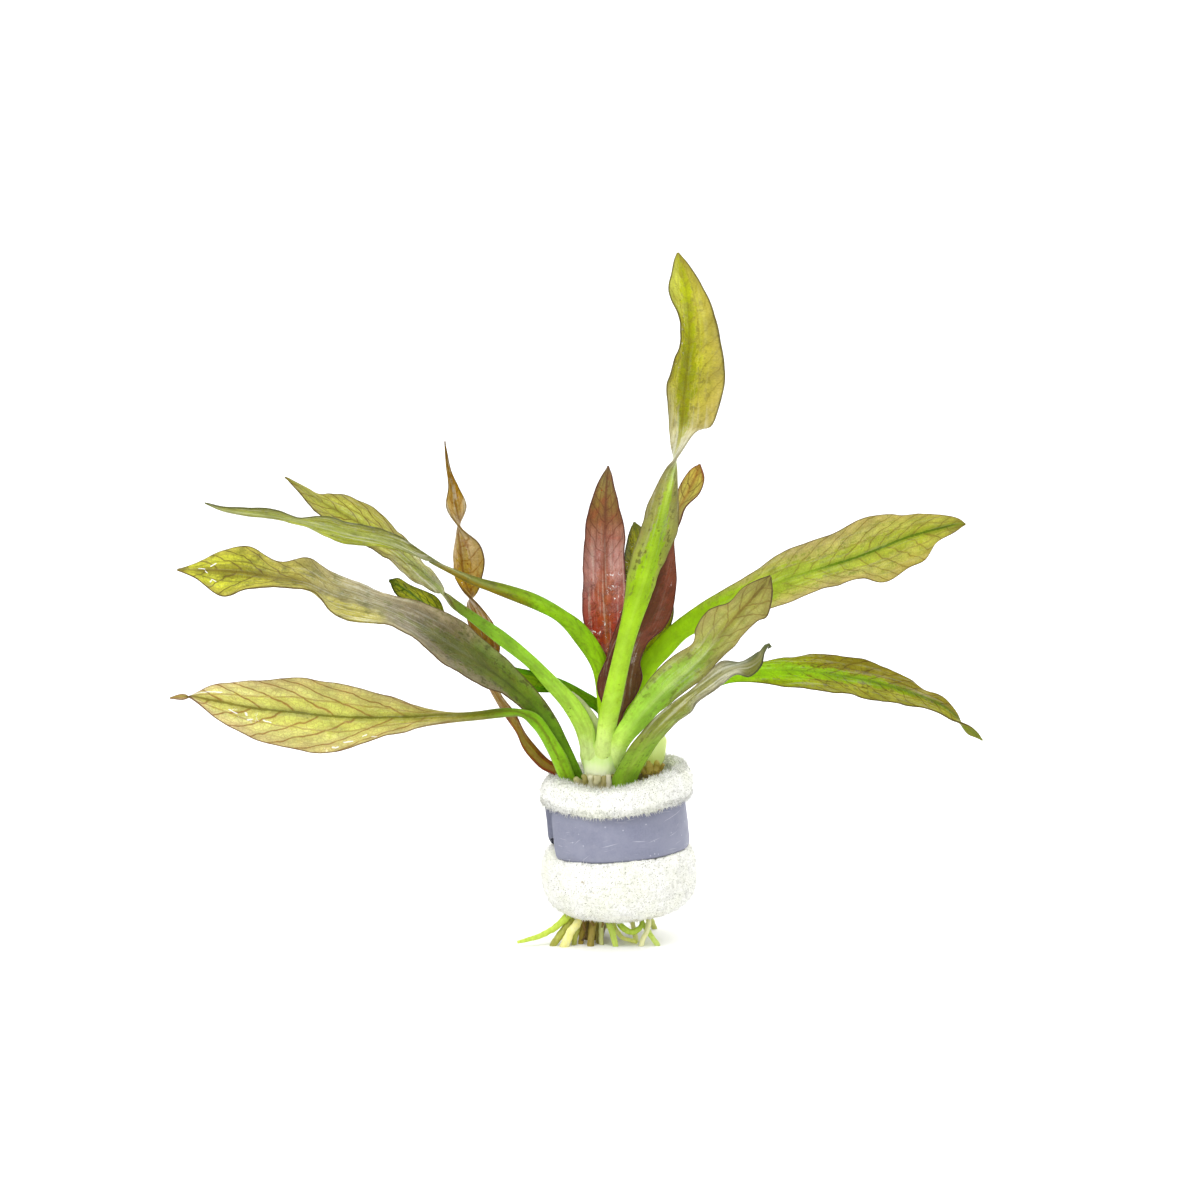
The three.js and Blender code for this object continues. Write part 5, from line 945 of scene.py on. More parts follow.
def lumps(points, layers):
    """Layers of soft noise on top of each other. Each has a height, a scale and an offset."""
    return sum(height * bumpy(points, scale, offset) for height, scale, offset in layers)


def circle(count):
    return np.arange(count) / count * 2 * math.pi


def add_object(name, data):
    item = bpy.data.objects.new(name, data)
    bpy.context.scene.collection.objects.link(item)
    return item


def make_object(name, points, faces, uvs=None):
    """A smooth-shaded mesh object from points in mm. uvs maps a layer's name to one pair for each corner."""
    mesh = bpy.data.meshes.new(name)
    mesh.from_pydata((np.asarray(points) * MM).tolist(), [], faces)
    for layer, values in (uvs or {}).items():
        mesh.uv_layers.new(name=layer).data.foreach_set("uv", np.asarray(values, np.float32).ravel())
    mesh.polygons.foreach_set("use_smooth", [True] * len(mesh.polygons))
    mesh.update()
    return add_object(name, mesh)


def side_faces(rings, around):
    """Faces between closed rings of points that follow each other."""
    faces = []
    for i in range(rings - 1):
        for j in range(around):
            k = (j + 1) % around
            faces.append((i * around + j, i * around + k, (i + 1) * around + k, (i + 1) * around + j))
    return faces


def capped_faces(rings, around):
    ends = [tuple(reversed(range(around))), tuple((rings - 1) * around + j for j in range(around))]
    return side_faces(rings, around) + ends


def dress(piece, material, slot, *nodes):
    """Gives a piece its material, hangs it under the root body and hides the CAD nodes that it stands for."""
    piece.data.materials.append(material)
    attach(piece, "root")
    if nodes:
        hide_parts(*nodes)


def linear(text):
    """A hex colour as the four linear numbers that a socket takes."""
    parts = [int(text[i:i + 2], 16) / 255 for i in (1, 3, 5)]
    return [p / 12.92 if p <= 0.04045 else ((p + 0.055) / 1.055) ** 2.4 for p in parts] + [1]


def warmed(text):
    """A green gains red and loses blue, because light that passes a leaf more than once turns yellow."""
    red, green, blue, alpha = linear(text)
    gap = max(green - red, 0)
    return [red + RED_GAIN * gap, green * (1 - GREEN_LOSS * gap), blue * (1 - BLUE_LOSS * gap), alpha]


class Value:
    """A node's output. A sum with it adds a Math node to its graph."""

    def __init__(self, graph, socket):
        self.graph = graph
        self.socket = socket

    def __add__(self, other):
        return self.graph.maths("ADD", self, other)

    def __sub__(self, other):
        return self.graph.maths("SUBTRACT", self, other)

    def __rsub__(self, other):
        return self.graph.maths("SUBTRACT", other, self)

    def __mul__(self, other):
        return self.graph.maths("MULTIPLY", self, other)

    def __truediv__(self, other):
        return self.graph.maths("DIVIDE", self, other)

    def __gt__(self, other):
        return self.graph.maths("GREATER_THAN", self, other)

    def __abs__(self):
        return self.graph.maths("ABSOLUTE", self)


class Graph:
    """A material's nodes, made by short calls. A number, a hex colour or another node's Value goes in."""

    def __init__(self, name):
        self.material = bpy.data.materials.new(name)
        self.material.use_nodes = True
        self.tree = self.material.node_tree
        self.tree.nodes.clear()

    def node(self, kind, inputs, **settings):
        node = self.tree.nodes.new(kind)
        for key, value in settings.items():
            setattr(node, key, value)
        for key, value in inputs.items():
            if isinstance(value, Value):
                self.tree.links.new(value.socket, node.inputs[key])
            else:
                node.inputs[key].default_value = warmed(value) if isinstance(value, str) else value
        return node

    def add(self, kind, inputs, **settings):
        """A new node's outputs."""
        return [Value(self, socket) for socket in self.node(kind, inputs, **settings).outputs]

    def maths(self, operation, a, b=0):
        return self.add("ShaderNodeMath", {0: a, 1: b}, operation=operation)[0]

    def times_plus(self, a, factor, b):
        return self.add("ShaderNodeMath", {0: a, 1: factor, 2: b}, operation="MULTIPLY_ADD")[0]

    def highest(self, a, b):
        return self.maths("MAXIMUM", a, b)

    def step(self, value, low, high, start=0, end=1):
        """Runs softly from start, where the value is low, to end, where it is high."""
        inputs = {"Value": value, "From Min": low, "From Max": high, "To Min": start, "To Max": end}
        return self.add("ShaderNodeMapRange", inputs, interpolation_type="SMOOTHSTEP")[0]

    def mix(self, share, a, b, blend="MIX"):
        return self.add("ShaderNodeMix", {0: share, 6: a, 7: b}, data_type="RGBA", blend_type=blend)[2]

    def blend(self, share, a, b):
        """Runs between two plain numbers."""
        return self.add("ShaderNodeMix", {0: share, 2: a, 3: b}, data_type="FLOAT")[0]

    def ramp(self, value, text):
        """Runs through the colours or grey levels that a text gives, each after its place."""
        node = self.node("ShaderNodeValToRGB", {"Fac": value})
        elements = node.color_ramp.elements
        given = stops(text)
        while len(elements) < len(given):
            elements.new(0.5)
        for element, (place, level) in zip(elements, given):
            element.position = place
            element.color = warmed(level) if isinstance(level, str) else (level, level, level, 1)
        return Value(self, node.outputs[0])

    def levels(self, value, text):
        """A plain number that runs through the levels of a text."""
        return self.ramp(value, text) * 1

    def uv(self, layer):
        return self.split(self.add("ShaderNodeUVMap", {}, uv_map=layer)[0])

    def split(self, vector):
        return self.add("ShaderNodeSeparateXYZ", {0: vector})

    def join(self, x, y, z=0):
        return self.add("ShaderNodeCombineXYZ", {0: x, 1: y, 2: z})[0]

    def noise(self, vector, scale, detail=2, roughness=0.5):
        inputs = {"Vector": vector, "Scale": scale, "Detail": detail, "Roughness": roughness}
        return self.add("ShaderNodeTexNoise", inputs)[0]

    def cells(self, vector, scale, feature="F1"):
        """Distances to scattered points, and a random colour for each point."""
        return self.add("ShaderNodeTexVoronoi", {"Vector": vector, "Scale": scale}, feature=feature)

    def place_mm(self):
        """Where the point is on the object, in mm."""
        where = Value(self, self.node("ShaderNodeTexCoord", {}).outputs["Object"])
        return self.add("ShaderNodeVectorMath", {0: where, "Scale": 1 / MM}, operation="SCALE")[0]

    def bump(self, height, strength, distance_mm):
        inputs = {"Height": height, "Strength": strength, "Distance": distance_mm * MM}
        return self.add("ShaderNodeBump", inputs)[0]

    def finish(self, colour, normal, roughness, behind=None, share=0, **constants):
        """Ends the graph with a Principled surface, and lets light through if behind is given."""
        inputs = {"Base Color": colour, "Roughness": roughness, "Normal": normal}
        surface = self.add("ShaderNodeBsdfPrincipled", {**inputs, **constants})[0]
        if behind is not None:
            glow = self.add("ShaderNodeBsdfTranslucent", {"Color": behind, "Normal": normal})[0]
            surface = self.add("ShaderNodeMixShader", {0: share, 1: surface, 2: glow})[0]
        self.add("ShaderNodeOutputMaterial", {"Surface": surface})
        return self.material


def leaf_material(name, look, seed):
    """A leaf's skin: zones from midrib to edge, slanting veins, flecks, stripes, margin and some water."""
    g = Graph(name + "_skin")
    u, v, _ = g.uv("leaf")
    across, run, _ = g.uv("mm")
    under = u > 1.5
    signed = (u - under * 2) * 2 - 1
    s = abs(signed)
    off = abs(across)
    place = g.join(across + seed * 31.7, run, under * 9)
    wander = g.noise(place, 0.2, 2) - 0.5
    tremble = g.noise(place, 0.9, 3, 0.6) - 0.5
    blade = g.step(v, look["blade"] - 0.08, look["blade"] + 0.06)
    drawn = g.noise(g.join(across * 1.1, run * 0.3, seed * 2.3), 1, 4, 0.65)

    # Zones: the field of each face, painted halves, the middle beside the midrib, and the edges.
    t = v + (wander * 0.06 + tremble * 0.03)
    colour = g.mix(under, g.ramp(t, look["upper"]), g.ramp(t, look["under"]))
    outer = g.step(s + wander * 0.5, 0.55, 1, 0, 0.7)
    outer = outer * g.step(blade, 0, 1, 0.3, 1)
    colour = g.mix(outer, colour, g.ramp(t, look["edge"]))
    for half, start, low, high, paint, share in look.get("sides", []):
        here = signed * half + (drawn - 0.5)
        here = g.step(here, start - 0.12, start + 0.12, 0, share)
        here = here * g.step(t, low - 0.03, low + 0.03)
        here = here * g.step(t, high + 0.03, high - 0.03)
        colour = g.mix(here, colour, paint)
    beyond = s - g.levels(v, look["band"])
    ragged = beyond + (drawn - 0.5)
    ragged = ragged + tremble * 0.35
    inner = g.step(ragged, 0.06, -0.06, 0, look["zone"])
    colour = g.mix(inner, colour, g.ramp(t, look["mid"]))
    spots = g.step(g.noise(place, 0.32, 4, 0.65), 0.5, 0.66, 0, look["mottle"])
    colour = g.mix(spots * blade, colour, look["spots"])
    near = g.step(abs(beyond - 0.08), 0.6, 0.1, 0.15, 1)
    flecks = g.times_plus(drawn, 0.7, tremble * 0.55)
    flecks = g.step(flecks, 0.375, 0.46, 0, 0.75)
    flecks = flecks * near * g.levels(v, look["flecks"])
    colour = g.mix(flecks, colour, look["fleck"])

    # Slanting veins leave the midrib, long ones cross them, and a fine net fills the rest.
    slope, spacing = look["slant"]
    slant = off * (s * (0.5 * slope) + 0.75 * slope)
    slant = run - slant
    slant = slant + g.maths("SIGN", across) * (0.2 * spacing)
    slant = slant + (wander * 5.5 + tremble * 0.7)
    lines = 0
    for share, width, strength in ((1, 0.3, 1), (0.5, 0.16, 0.35)):
        turn = g.maths("FRACT", slant / (spacing * share))
        away = abs(turn - 0.5) * (spacing * share)
        away = away / math.hypot(1, slope)
        width *= look.get("bold", 1)
        lines = g.highest(lines, g.step(away, width, 0.03, 0, strength))
        lines = g.highest(lines, g.step(away, 3 * width, 0.1, 0, 0.3 * strength))
    for track, width, strength in ((0.42, 0.3, 0.7), (0.76, 0.24, 0.4)):
        bent = wander * 0.16 + track
        away = 1 - bent / g.highest(s, 0.05)
        away = abs(away) * off
        lines = g.highest(lines, g.step(away, width, 0.04, 0, strength))
    warped = g.join(across + tremble, run * 0.75, seed * 3.1)
    net = g.cells(warped, 1.05, "DISTANCE_TO_EDGE")[0]
    lines = g.highest(lines, g.step(net, 0.13, 0.01, 0, 0.34))
    faded = g.step(g.noise(place, 0.4, 2), 0.2, 0.5, 0.6, 1)
    lines = lines * faded * g.levels(v, look["veins"])
    colour = g.mix(lines, colour, look["vein"])

    # Midrib, small dark specks, fine long stripes, grain, and the thin dark margin.
    rib = off + tremble * 0.5
    rib = g.highest(g.step(rib, 0.42, 0.2), g.step(rib, 1.2, 0.4, 0, 0.4))
    rib = rib * g.levels(v, look["ribs"]) * g.step(v, 1, 0.9)
    colour = g.mix(rib, colour, g.ramp(t, look["rib"]))
    dots = g.cells(place, 1.1)
    few = g.split(dots[1])[0] + wander * 0.9
    few = few > 1.02 - 0.4 * look["speckle"]
    dot = g.step(dots[0] + tremble * 0.5, 0.26, 0.08, 0, 0.6)
    colour = g.mix(dot * few, colour, look["fleck"])
    lanes = g.join(across * 1.7, run * 0.08, seed)
    streaks = g.times_plus(tremble, 0.3, g.noise(lanes, 1, 3))
    stripe = g.levels(v, look["stripe"])
    dark = g.ramp(streaks, "0.3 #A8A894 0.5 #FFFFFF")
    colour = g.mix(stripe * 0.7, colour, dark, "MULTIPLY")
    pale = g.step(streaks, 0.5, 0.68, 0, 0.6) * stripe
    colour = g.mix(pale * blade, colour, "#E2E2D0")
    grain = g.noise(place, 3, 4, 0.7)
    speckled = g.ramp(grain, "0.28 #989884 0.55 #FFFFFF")
    colour = g.mix(g.step(blade, 0, 1, 0.12, 0.36), colour, speckled, "MULTIPLY")
    cloudy = g.noise(g.join(across + seed * 11.3, run * 0.6, under), 0.3, 3, 0.6)
    bright, cloud = look.get("bright", 1), look.get("cloud", 0.13)
    shade = g.step(cloudy, 0.3, 0.7, (1 - cloud) * bright, (1 + cloud) * bright)
    inputs = {"Saturation": look.get("rich", 1), "Value": shade, "Color": colour}
    colour = g.add("ShaderNodeHueSaturation", inputs)[0]
    to_edge = off * (1 - s) / g.highest(s, 0.05)
    to_edge = to_edge + tremble * 0.2
    broad = off / g.highest(s, 0.05)
    to_edge = to_edge / g.maths("MINIMUM", broad * 0.16, 0.3)
    margin = g.step(to_edge, 1, 0.15) * g.step(blade, 0, 1, 0.4, 0.92)
    margin = margin * (1 - stripe * 0.6)
    colour = g.mix(margin, colour, look["margin"])

    # Relief: sunken lines between swollen fields. Water lies on part of the leaf. Where it would flash,
    # painted highlights are mixed into the colour as thin white curls and strokes.
    low, high, amount = look["wet"]
    film = g.step(t, low, low + 0.05) * g.step(t, high, high - 0.05)
    film = film * g.step(g.noise(place, 0.42, 3, 0.6), 0.47, 0.56, 0, amount)
    painted_glint_curls = abs(g.noise(place, 0.75, 2, 0.4) - 0.52)
    painted_glint_curls = g.step(painted_glint_curls, 0.016, 0.006) * g.step(g.noise(place, 0.6, 1), 0.56, 0.6)
    # Painted highlights: white curls mixed into the colour where the water would flash.
    for low, high, first, last in look.get("glints", []):
        here = g.step(v, low, low + 0.02) * g.step(v, high, high - 0.02)
        here = here * g.step(signed, first - 0.1, first + 0.1)
        here = here * g.step(signed, last + 0.1, last - 0.1)
        colour = g.mix(here * painted_glint_curls * 0.95, colour, "#FFFFFF")
    # Painted highlights: short white strokes mixed into the colour.
    for at_v, at_s, length, turn, width in look.get("painted_glint_strokes", []):
        c, s_turn = math.cos(math.radians(turn)), math.sin(math.radians(turn))
        along = (v - at_v) * look["size"][0]
        aside = (signed - at_s) * look["size"][1]
        on = along * c + aside * s_turn
        by = aside * c - along * s_turn
        on = g.highest(abs(on) - length / 2, 0)
        by = abs(by + tremble * 0.8) + on
        colour = g.mix(g.step(by, width, 0.4 * width, 0, 0.9), colour, "#FFFFFF")
    raised = lines * -0.8
    raised = raised + g.noise(place, 0.7, 3, 0.6)
    raised = raised + grain * 0.3
    raised = raised + film * (g.noise(place, 1.1, 2) * 4)
    normal = g.bump(raised, 0.65, 0.25)
    roughness = g.blend(film, g.step(g.noise(place, 0.5, 3), 0.3, 0.7, 0.42, 0.58), 0.12)
    wet_colour = g.mix(film * 0.3, colour, g.mix(1, colour, colour, "MULTIPLY"))
    lit = g.mix(0.35, wet_colour, "#FFFFB0", "SOFT_LIGHT")
    return g.finish(wet_colour, normal, roughness, lit, look["through"],
                    **{"Specular IOR Level": look.get("shine", 0.18), "Coat Weight": film,
                       "Coat Roughness": 0.06})


def leaf_rings(name):
    """Rings from base to tip: middles, edges and thicknesses, then runs in mm and places from 0 to 1."""
    sheath = SHEATHS.get(name, [])
    tip = TIPS.get(name, [])
    shifts = DEPTH_SHIFTS.get(name, {})
    rows = LEAVES[name]
    stations = []
    for i, row in enumerate(sheath + (rows[:-TIP_ROWS_REPLACED] if tip else rows) + tip):
        across, up, depth, a_across, a_up, a_depth, b_across, b_up, b_depth, thick = row
        depth += shifts.get(i - len(sheath), 0)
        edge_a = seen(a_across, a_up, depth + a_depth)
        edge_b = seen(b_across, b_up, depth + b_depth)
        stations.append(np.concatenate([seen(across, up, depth), edge_a, edge_b, [thick]]))
    t, run = even_places(stations, LEAF_RING_SPACING)
    return through(stations, t), run, np.clip((t - len(sheath)) / (len(rows) - 1), 0, 1)


def leaf_piece(name, seed):
    """One leaf: stalk and blade as a thin closed skin, with a rib below and softly rippled edges."""
    look = LOOKS[name]
    values, run, place = leaf_rings(name)
    middle, edge_a, edge_b = values[:, None, 0:3], values[:, None, 3:6], values[:, None, 6:9]
    thick = np.maximum(values[:, 9:10], 2 * EDGE_HALF_THICKNESS)
    s = np.sin(np.linspace(-math.pi / 2, math.pi / 2, LEAF_ACROSS + 1))
    chord = (edge_b - edge_a) / 2
    arch = (edge_a + edge_b) / 2 - middle
    surface = middle + chord * s[None, :, None] + arch * (s ** 2)[None, :, None]
    across = chord + 2 * arch * s[None, :, None]
    along = np.gradient(surface, axis=0)
    normal = unit(np.cross(unit(across), unit(along)))
    half_width = np.linalg.norm(chord[:, 0], axis=1)[:, None]
    blade = smooth(half_width, *STALK_TO_BLADE)

    # Ripples grow towards the edges and die out at the tip.
    draw = random.Random(seed)
    ripple = np.zeros_like(surface[:, :, 0])
    for length, share in [(draw.uniform(low, high), share) for low, high, share in RIPPLES]:
        for sign in (-1, 1):
            wave = np.sin(2 * math.pi * run / length + draw.uniform(0, 6.3))[:, None]
            ripple += share * wave * np.maximum(sign * s, 0)[None, :] ** 1.7
    ripple *= look["ripple"] * blade * smooth(run[-1] - run, 0, 8)[:, None]
    surface = surface + normal * ripple[:, :, None]

    # Round where it is a stalk, flat with a rib where it is a blade, with sunk veins along it.
    off = np.abs(s)[None, :] * half_width
    round_shape = np.sqrt(np.maximum(1 - s ** 2, 0))[None, :]
    rib_shape = np.exp(-(off / np.maximum(thick * 0.62, 0.45)) ** 2)
    shape = round_shape * (1 - blade) + rib_shape * blade
    extra = np.maximum(thick / 2 - EDGE_HALF_THICKNESS, 0) * shape
    above = EDGE_HALF_THICKNESS + extra * (1 - RIB_BELOW * blade)
    below = EDGE_HALF_THICKNESS + extra * (1 + RIB_BELOW * blade)
    for track in VEIN_TRACKS:
        vein = np.exp(-((np.abs(s)[None, :] - track) * half_width / VEIN_WIDTH) ** 2) * blade
        above = above - VEIN_SUNK * vein
        below = below + VEIN_RAISED * vein
    top = surface + normal * above[:, :, None]
    bottom = surface - normal * below[:, :, None]

    rings, n = len(run), LEAF_ACROSS + 1
    points = np.concatenate([top, bottom[:, ::-1]], axis=1).reshape(-1, 3)
    faces = side_faces(rings, 2 * n)
    sides = len(faces)
    for i, way in ((0, -1), (rings - 1, 1)):
        for j in range(n - 1):
            columns = [j, j + 1, 2 * n - 2 - j, 2 * n - 1 - j]
            faces.append(tuple(i * 2 * n + c for c in columns[::way]))

    # The layer "leaf" has shares across and along, with 2 added across below. The layer "mm" has the sizes.
    skin_uv, size_uv = [], []
    for number, face in enumerate(faces):
        rim = number >= sides or face[0] % (2 * n) in (n - 1, 2 * n - 1)
        for index in face:
            ring, column = divmod(index, 2 * n)
            k = min(column, 2 * n - 1 - column)
            lift = 0 if rim or column < n else 2
            skin_uv.append(((s[k] + 1) / 2 + lift, place[ring]))
            size_uv.append((s[k] * half_width[ring, 0], run[ring]))
    title = name.replace("leaf_", "blade_").replace("crown_sheath", "crown_leaflet")
    piece = make_object(title, points, faces, {"leaf": skin_uv, "mm": size_uv})
    dress(piece, leaf_material(name, look, seed), look.get("slot", name), name)


def tube(path, radii, sides, wobble, seed, flat_end=False):
    """Points and faces of a closed tube along a path, slightly uneven."""
    path = np.asarray(path)
    radii = np.asarray(radii)[:, None, None]
    along = unit(np.gradient(path, axis=0))
    side = unit(np.cross(np.array([0, 1, 0]), along) + 1e-6)
    deep = np.cross(along, side)
    angle = circle(sides)
    ring = side[:, None] * np.cos(angle)[None, :, None] + deep[:, None] * np.sin(angle)[None, :, None]
    points = path[:, None] + ring * radii
    flat = points.reshape(-1, 3)
    uneven = lumps(flat, ((1, 0.9, seed), (0.5, 2.3, seed + 9)))
    points = points + ring * (uneven.reshape(points.shape[:2]) * wobble)[:, :, None] * radii
    if flat_end:
        points[-1, :, 2] = 0
    points[:, :, 2] = np.maximum(points[:, :, 2], 0)
    return points.reshape(-1, 3), capped_faces(len(path), sides)


def root_material(name, first, second):
    """A root's skin: soft long streaks, small darker nicks and a wet shine, with painted shade higher up,
    under the foam.
    """
    g = Graph(name + "_skin")
    where = g.place_mm()
    x, y, z = g.split(where)
    streaks = g.noise(g.join(x * 1.6, y * 1.6, z * 0.35), 1, 3)
    colour = g.ramp(streaks, f"0.35 {first} 0.65 {second}")
    nicks = g.step(g.noise(where, 2.2, 3, 0.7), 0.6, 0.74, 0, 0.55)
    colour = g.mix(nicks, colour, "#7A5F2C")
    # Painted shade: darker and browner from 5.5 mm up, where the roots run in under the foam.
    painted_shade_under_foam = g.step(z, 5.5, 8, 0, 0.25)
    colour = g.mix(painted_shade_under_foam, colour, "#7A6A30")
    normal = g.bump(g.noise(where, 2.6, 4, 0.6), 0.5, 0.2)
    return g.finish(colour, normal, 0.42, g.mix(0.5, colour, "#FFFFB0"), 0.3,
                    **{"Specular IOR Level": 0.3, "Coat Weight": 0.06})


def root_piece(name, seed):
    """A root that ends flat where it meets the floor."""
    colours, *rows = ROOTS[name]
    stations = [np.append(seen(across, up, depth), radius) for across, up, depth, radius in rows]
    values = through(stations, even_places(stations, ROOT_RING_SPACING)[0])
    below = np.nonzero(values[:, 2] <= 0)[0]
    cut = len(below) > 0
    if cut:
        values = values[:below[0] + 1]
    points, faces = tube(values[:, :3], values[:, 3], ROOT_SIDES, ROOT_WOBBLE, seed, cut)
    piece = make_object(name.replace("root_", "strand_"), points, faces)
    dress(piece, root_material(name, *colours), "roots", name)


def crown_material(name, low, high, foot, head, streak):
    """A crown's skin: pale below, greener above, in long soft streaks."""
    g = Graph(name + "_skin")
    where = g.place_mm()
    x, y, z = g.split(where)
    height = g.step(z + g.noise(where, 0.5, 2) * 2, low, high)
    colour = g.mix(height, foot, head)
    fine = g.noise(g.join(x * 1.8, y * 1.8, z * 0.12), 1, 3)
    colour = g.mix(g.step(fine, 0.42, 0.7, 0, 0.2), colour, streak)
    normal = g.bump(fine, 0.2, 0.2)
    return g.finish(colour, normal, 0.36, g.mix(0.4, colour, "#F8FFC0"), 0.3,
                    **{"Specular IOR Level": 0.3, "Coat Weight": 0.06, "Subsurface Weight": 0.4,
                       "Subsurface Scale": 0.002, "Subsurface Radius": (1, 1, 0.6)})


def trunk_piece(name, title, slot, seed, *look):
    """A thick stem or crown as a smooth lathe that leans."""
    rows = np.asarray(FULL_CROWN.get(name) or TRUNKS[name], float)
    values = through(rows, np.linspace(0, len(rows) - 1, TRUNK_RINGS))
    angle = circle(TRUNK_SIDES)
    ridges = 1 + 0.015 * np.sin(5 * angle + seed) + 0.01 * np.sin(9 * angle)
    points = np.empty((TRUNK_RINGS, TRUNK_SIDES, 3))
    points[:, :, 0] = values[:, 0:1] + values[:, 3:4] * np.cos(angle) * ridges
    points[:, :, 1] = values[:, 1:2] + values[:, 4:5] * np.sin(angle) * ridges
    points[:, :, 2] = values[:, 2:3]
    uneven = 1 + 0.03 * bumpy(points.reshape(-1, 3), 0.5, seed).reshape(TRUNK_RINGS, TRUNK_SIDES)
    centre = values[:, None, 0:2]
    points[:, :, 0:2] = centre + (points[:, :, 0:2] - centre) * uneven[:, :, None]
    piece = make_object(title, points.reshape(-1, 3), capped_faces(TRUNK_RINGS, TRUNK_SIDES))
    dress(piece, crown_material(title, *look), slot, name)


def scraps(title, seed):
    """Short torn bits, each leaning its own way, one object for each row."""
    for i, (across, up, depth, lean, length, radius, colour) in enumerate(SCRAPS[title]):
        foot = seen(across, up, depth)
        a = math.radians(lean)
        way = np.array([-math.sin(a), -0.12, math.cos(a)])
        steps = np.linspace(0, 1, SCRAP_RINGS)
        path = foot + way * (steps * length)[:, None]
        path[:, 1] += 0.35 * np.sin(steps * 2.6 + i)
        radii = radius * (0.9 + 0.15 * np.sin(steps * 5 + i)) * (1 - 0.25 * steps ** 6)
        points, faces = tube(path, radii, SCRAP_SIDES, SCRAP_WOBBLE, seed + i)
        name = f"{title}_{i + 1}"
        dress(make_object(name, points, faces), root_material(name, colour, colour), "roots")


def foam_material():
    """White open-cell foam: a bright net round small grey-olive pores, denser in front, and some crumbs. The
    pores' grey-olive is painted shade in the holes.
    """
    g = Graph("foam_skin")
    where = g.place_mm()
    _, y, z = g.split(where)
    colour = g.mix(g.step(g.noise(where, 0.14, 2), 0.35, 0.7), "#FFFFFB", "#FBFCF0")
    patchy = g.step(g.noise(where, 0.24, 3, 0.6), 0.32, 0.68, 0.2, 1)
    dense = patchy * g.step(y, 2, -13, 0.15, 1)
    # Painted shade in the pores: grey patches at the cell centres, denser in front.
    for scale, low, high, strength, paint in ((2.1, 0.42, 0.14, 0.6, "#C6C8B6"),
                                              (3.2, 0.42, 0.14, 0.55, "#C8CAB8")):
        cells = g.cells(where, scale)
        lot = g.split(cells[1])[0]
        painted_pore_shade = g.step(cells[0], low, high, 0, strength)
        painted_pore_shade = painted_pore_shade * g.step(lot + dense * 0.6, 0.5, 1.1)
        colour = g.mix(painted_pore_shade, colour, paint)
    # Painted shade in the deepest pores: small dark grey-olive dots, more in front and near the top.
    for scale, limit, size, paint in ((2.1, 1, 0.32, "#7E8268"), (3, 0.98, 0.36, "#90947A")):
        painted_pore_dots = g.cells(where, scale)
        lot = g.split(painted_pore_dots[1])[1] + dense * 0.3
        lot = lot + g.step(z, 32.5, 36, 0, 0.12)
        lot = lot > limit
        dot = g.step(painted_pore_dots[0], size, size * 0.5, 0, 0.75)
        colour = g.mix(dot * lot, colour, paint)
    crumbs = g.cells(where, 0.5)
    lot = g.split(crumbs[1])[2] > 0.86
    colour = g.mix(g.step(crumbs[0], 0.16, 0.08, 0, 0.6) * lot, colour, "#B09A68")
    # Yellower and darker towards the foot.
    foot_tint = g.step(z, 9, 6) * g.step(g.noise(where, 0.35, 2), 0.4, 0.65, 0, 0.4)
    colour = g.mix(foot_tint, colour, "#CFC68C")
    height = g.noise(where, 2.8, 4, 0.7) + g.step(g.cells(where, 1.9)[0], 0.1, 0.5, 0, 0.7)
    return g.finish(colour, g.bump(height, 0.6, 0.3), 1, g.mix(0.5, colour, "#FFFFFF"), 0.2,
                    **{"Specular IOR Level": 0.1})


def strip_foot(angle):
    """How high the strip's lower edge is at an angle round the sleeve."""
    turned = np.mod(np.degrees(angle) - STRIP_START_DEG, 360)
    low = STRIP_BOTTOM_Z + STRIP_RISE_PER_TURN * turned / 360
    return STRIP_MID_Z + STRIP_MID_RADIUS * np.cos(angle) * math.sin(STRIP_TILT) + (low - STRIP_MID_Z)


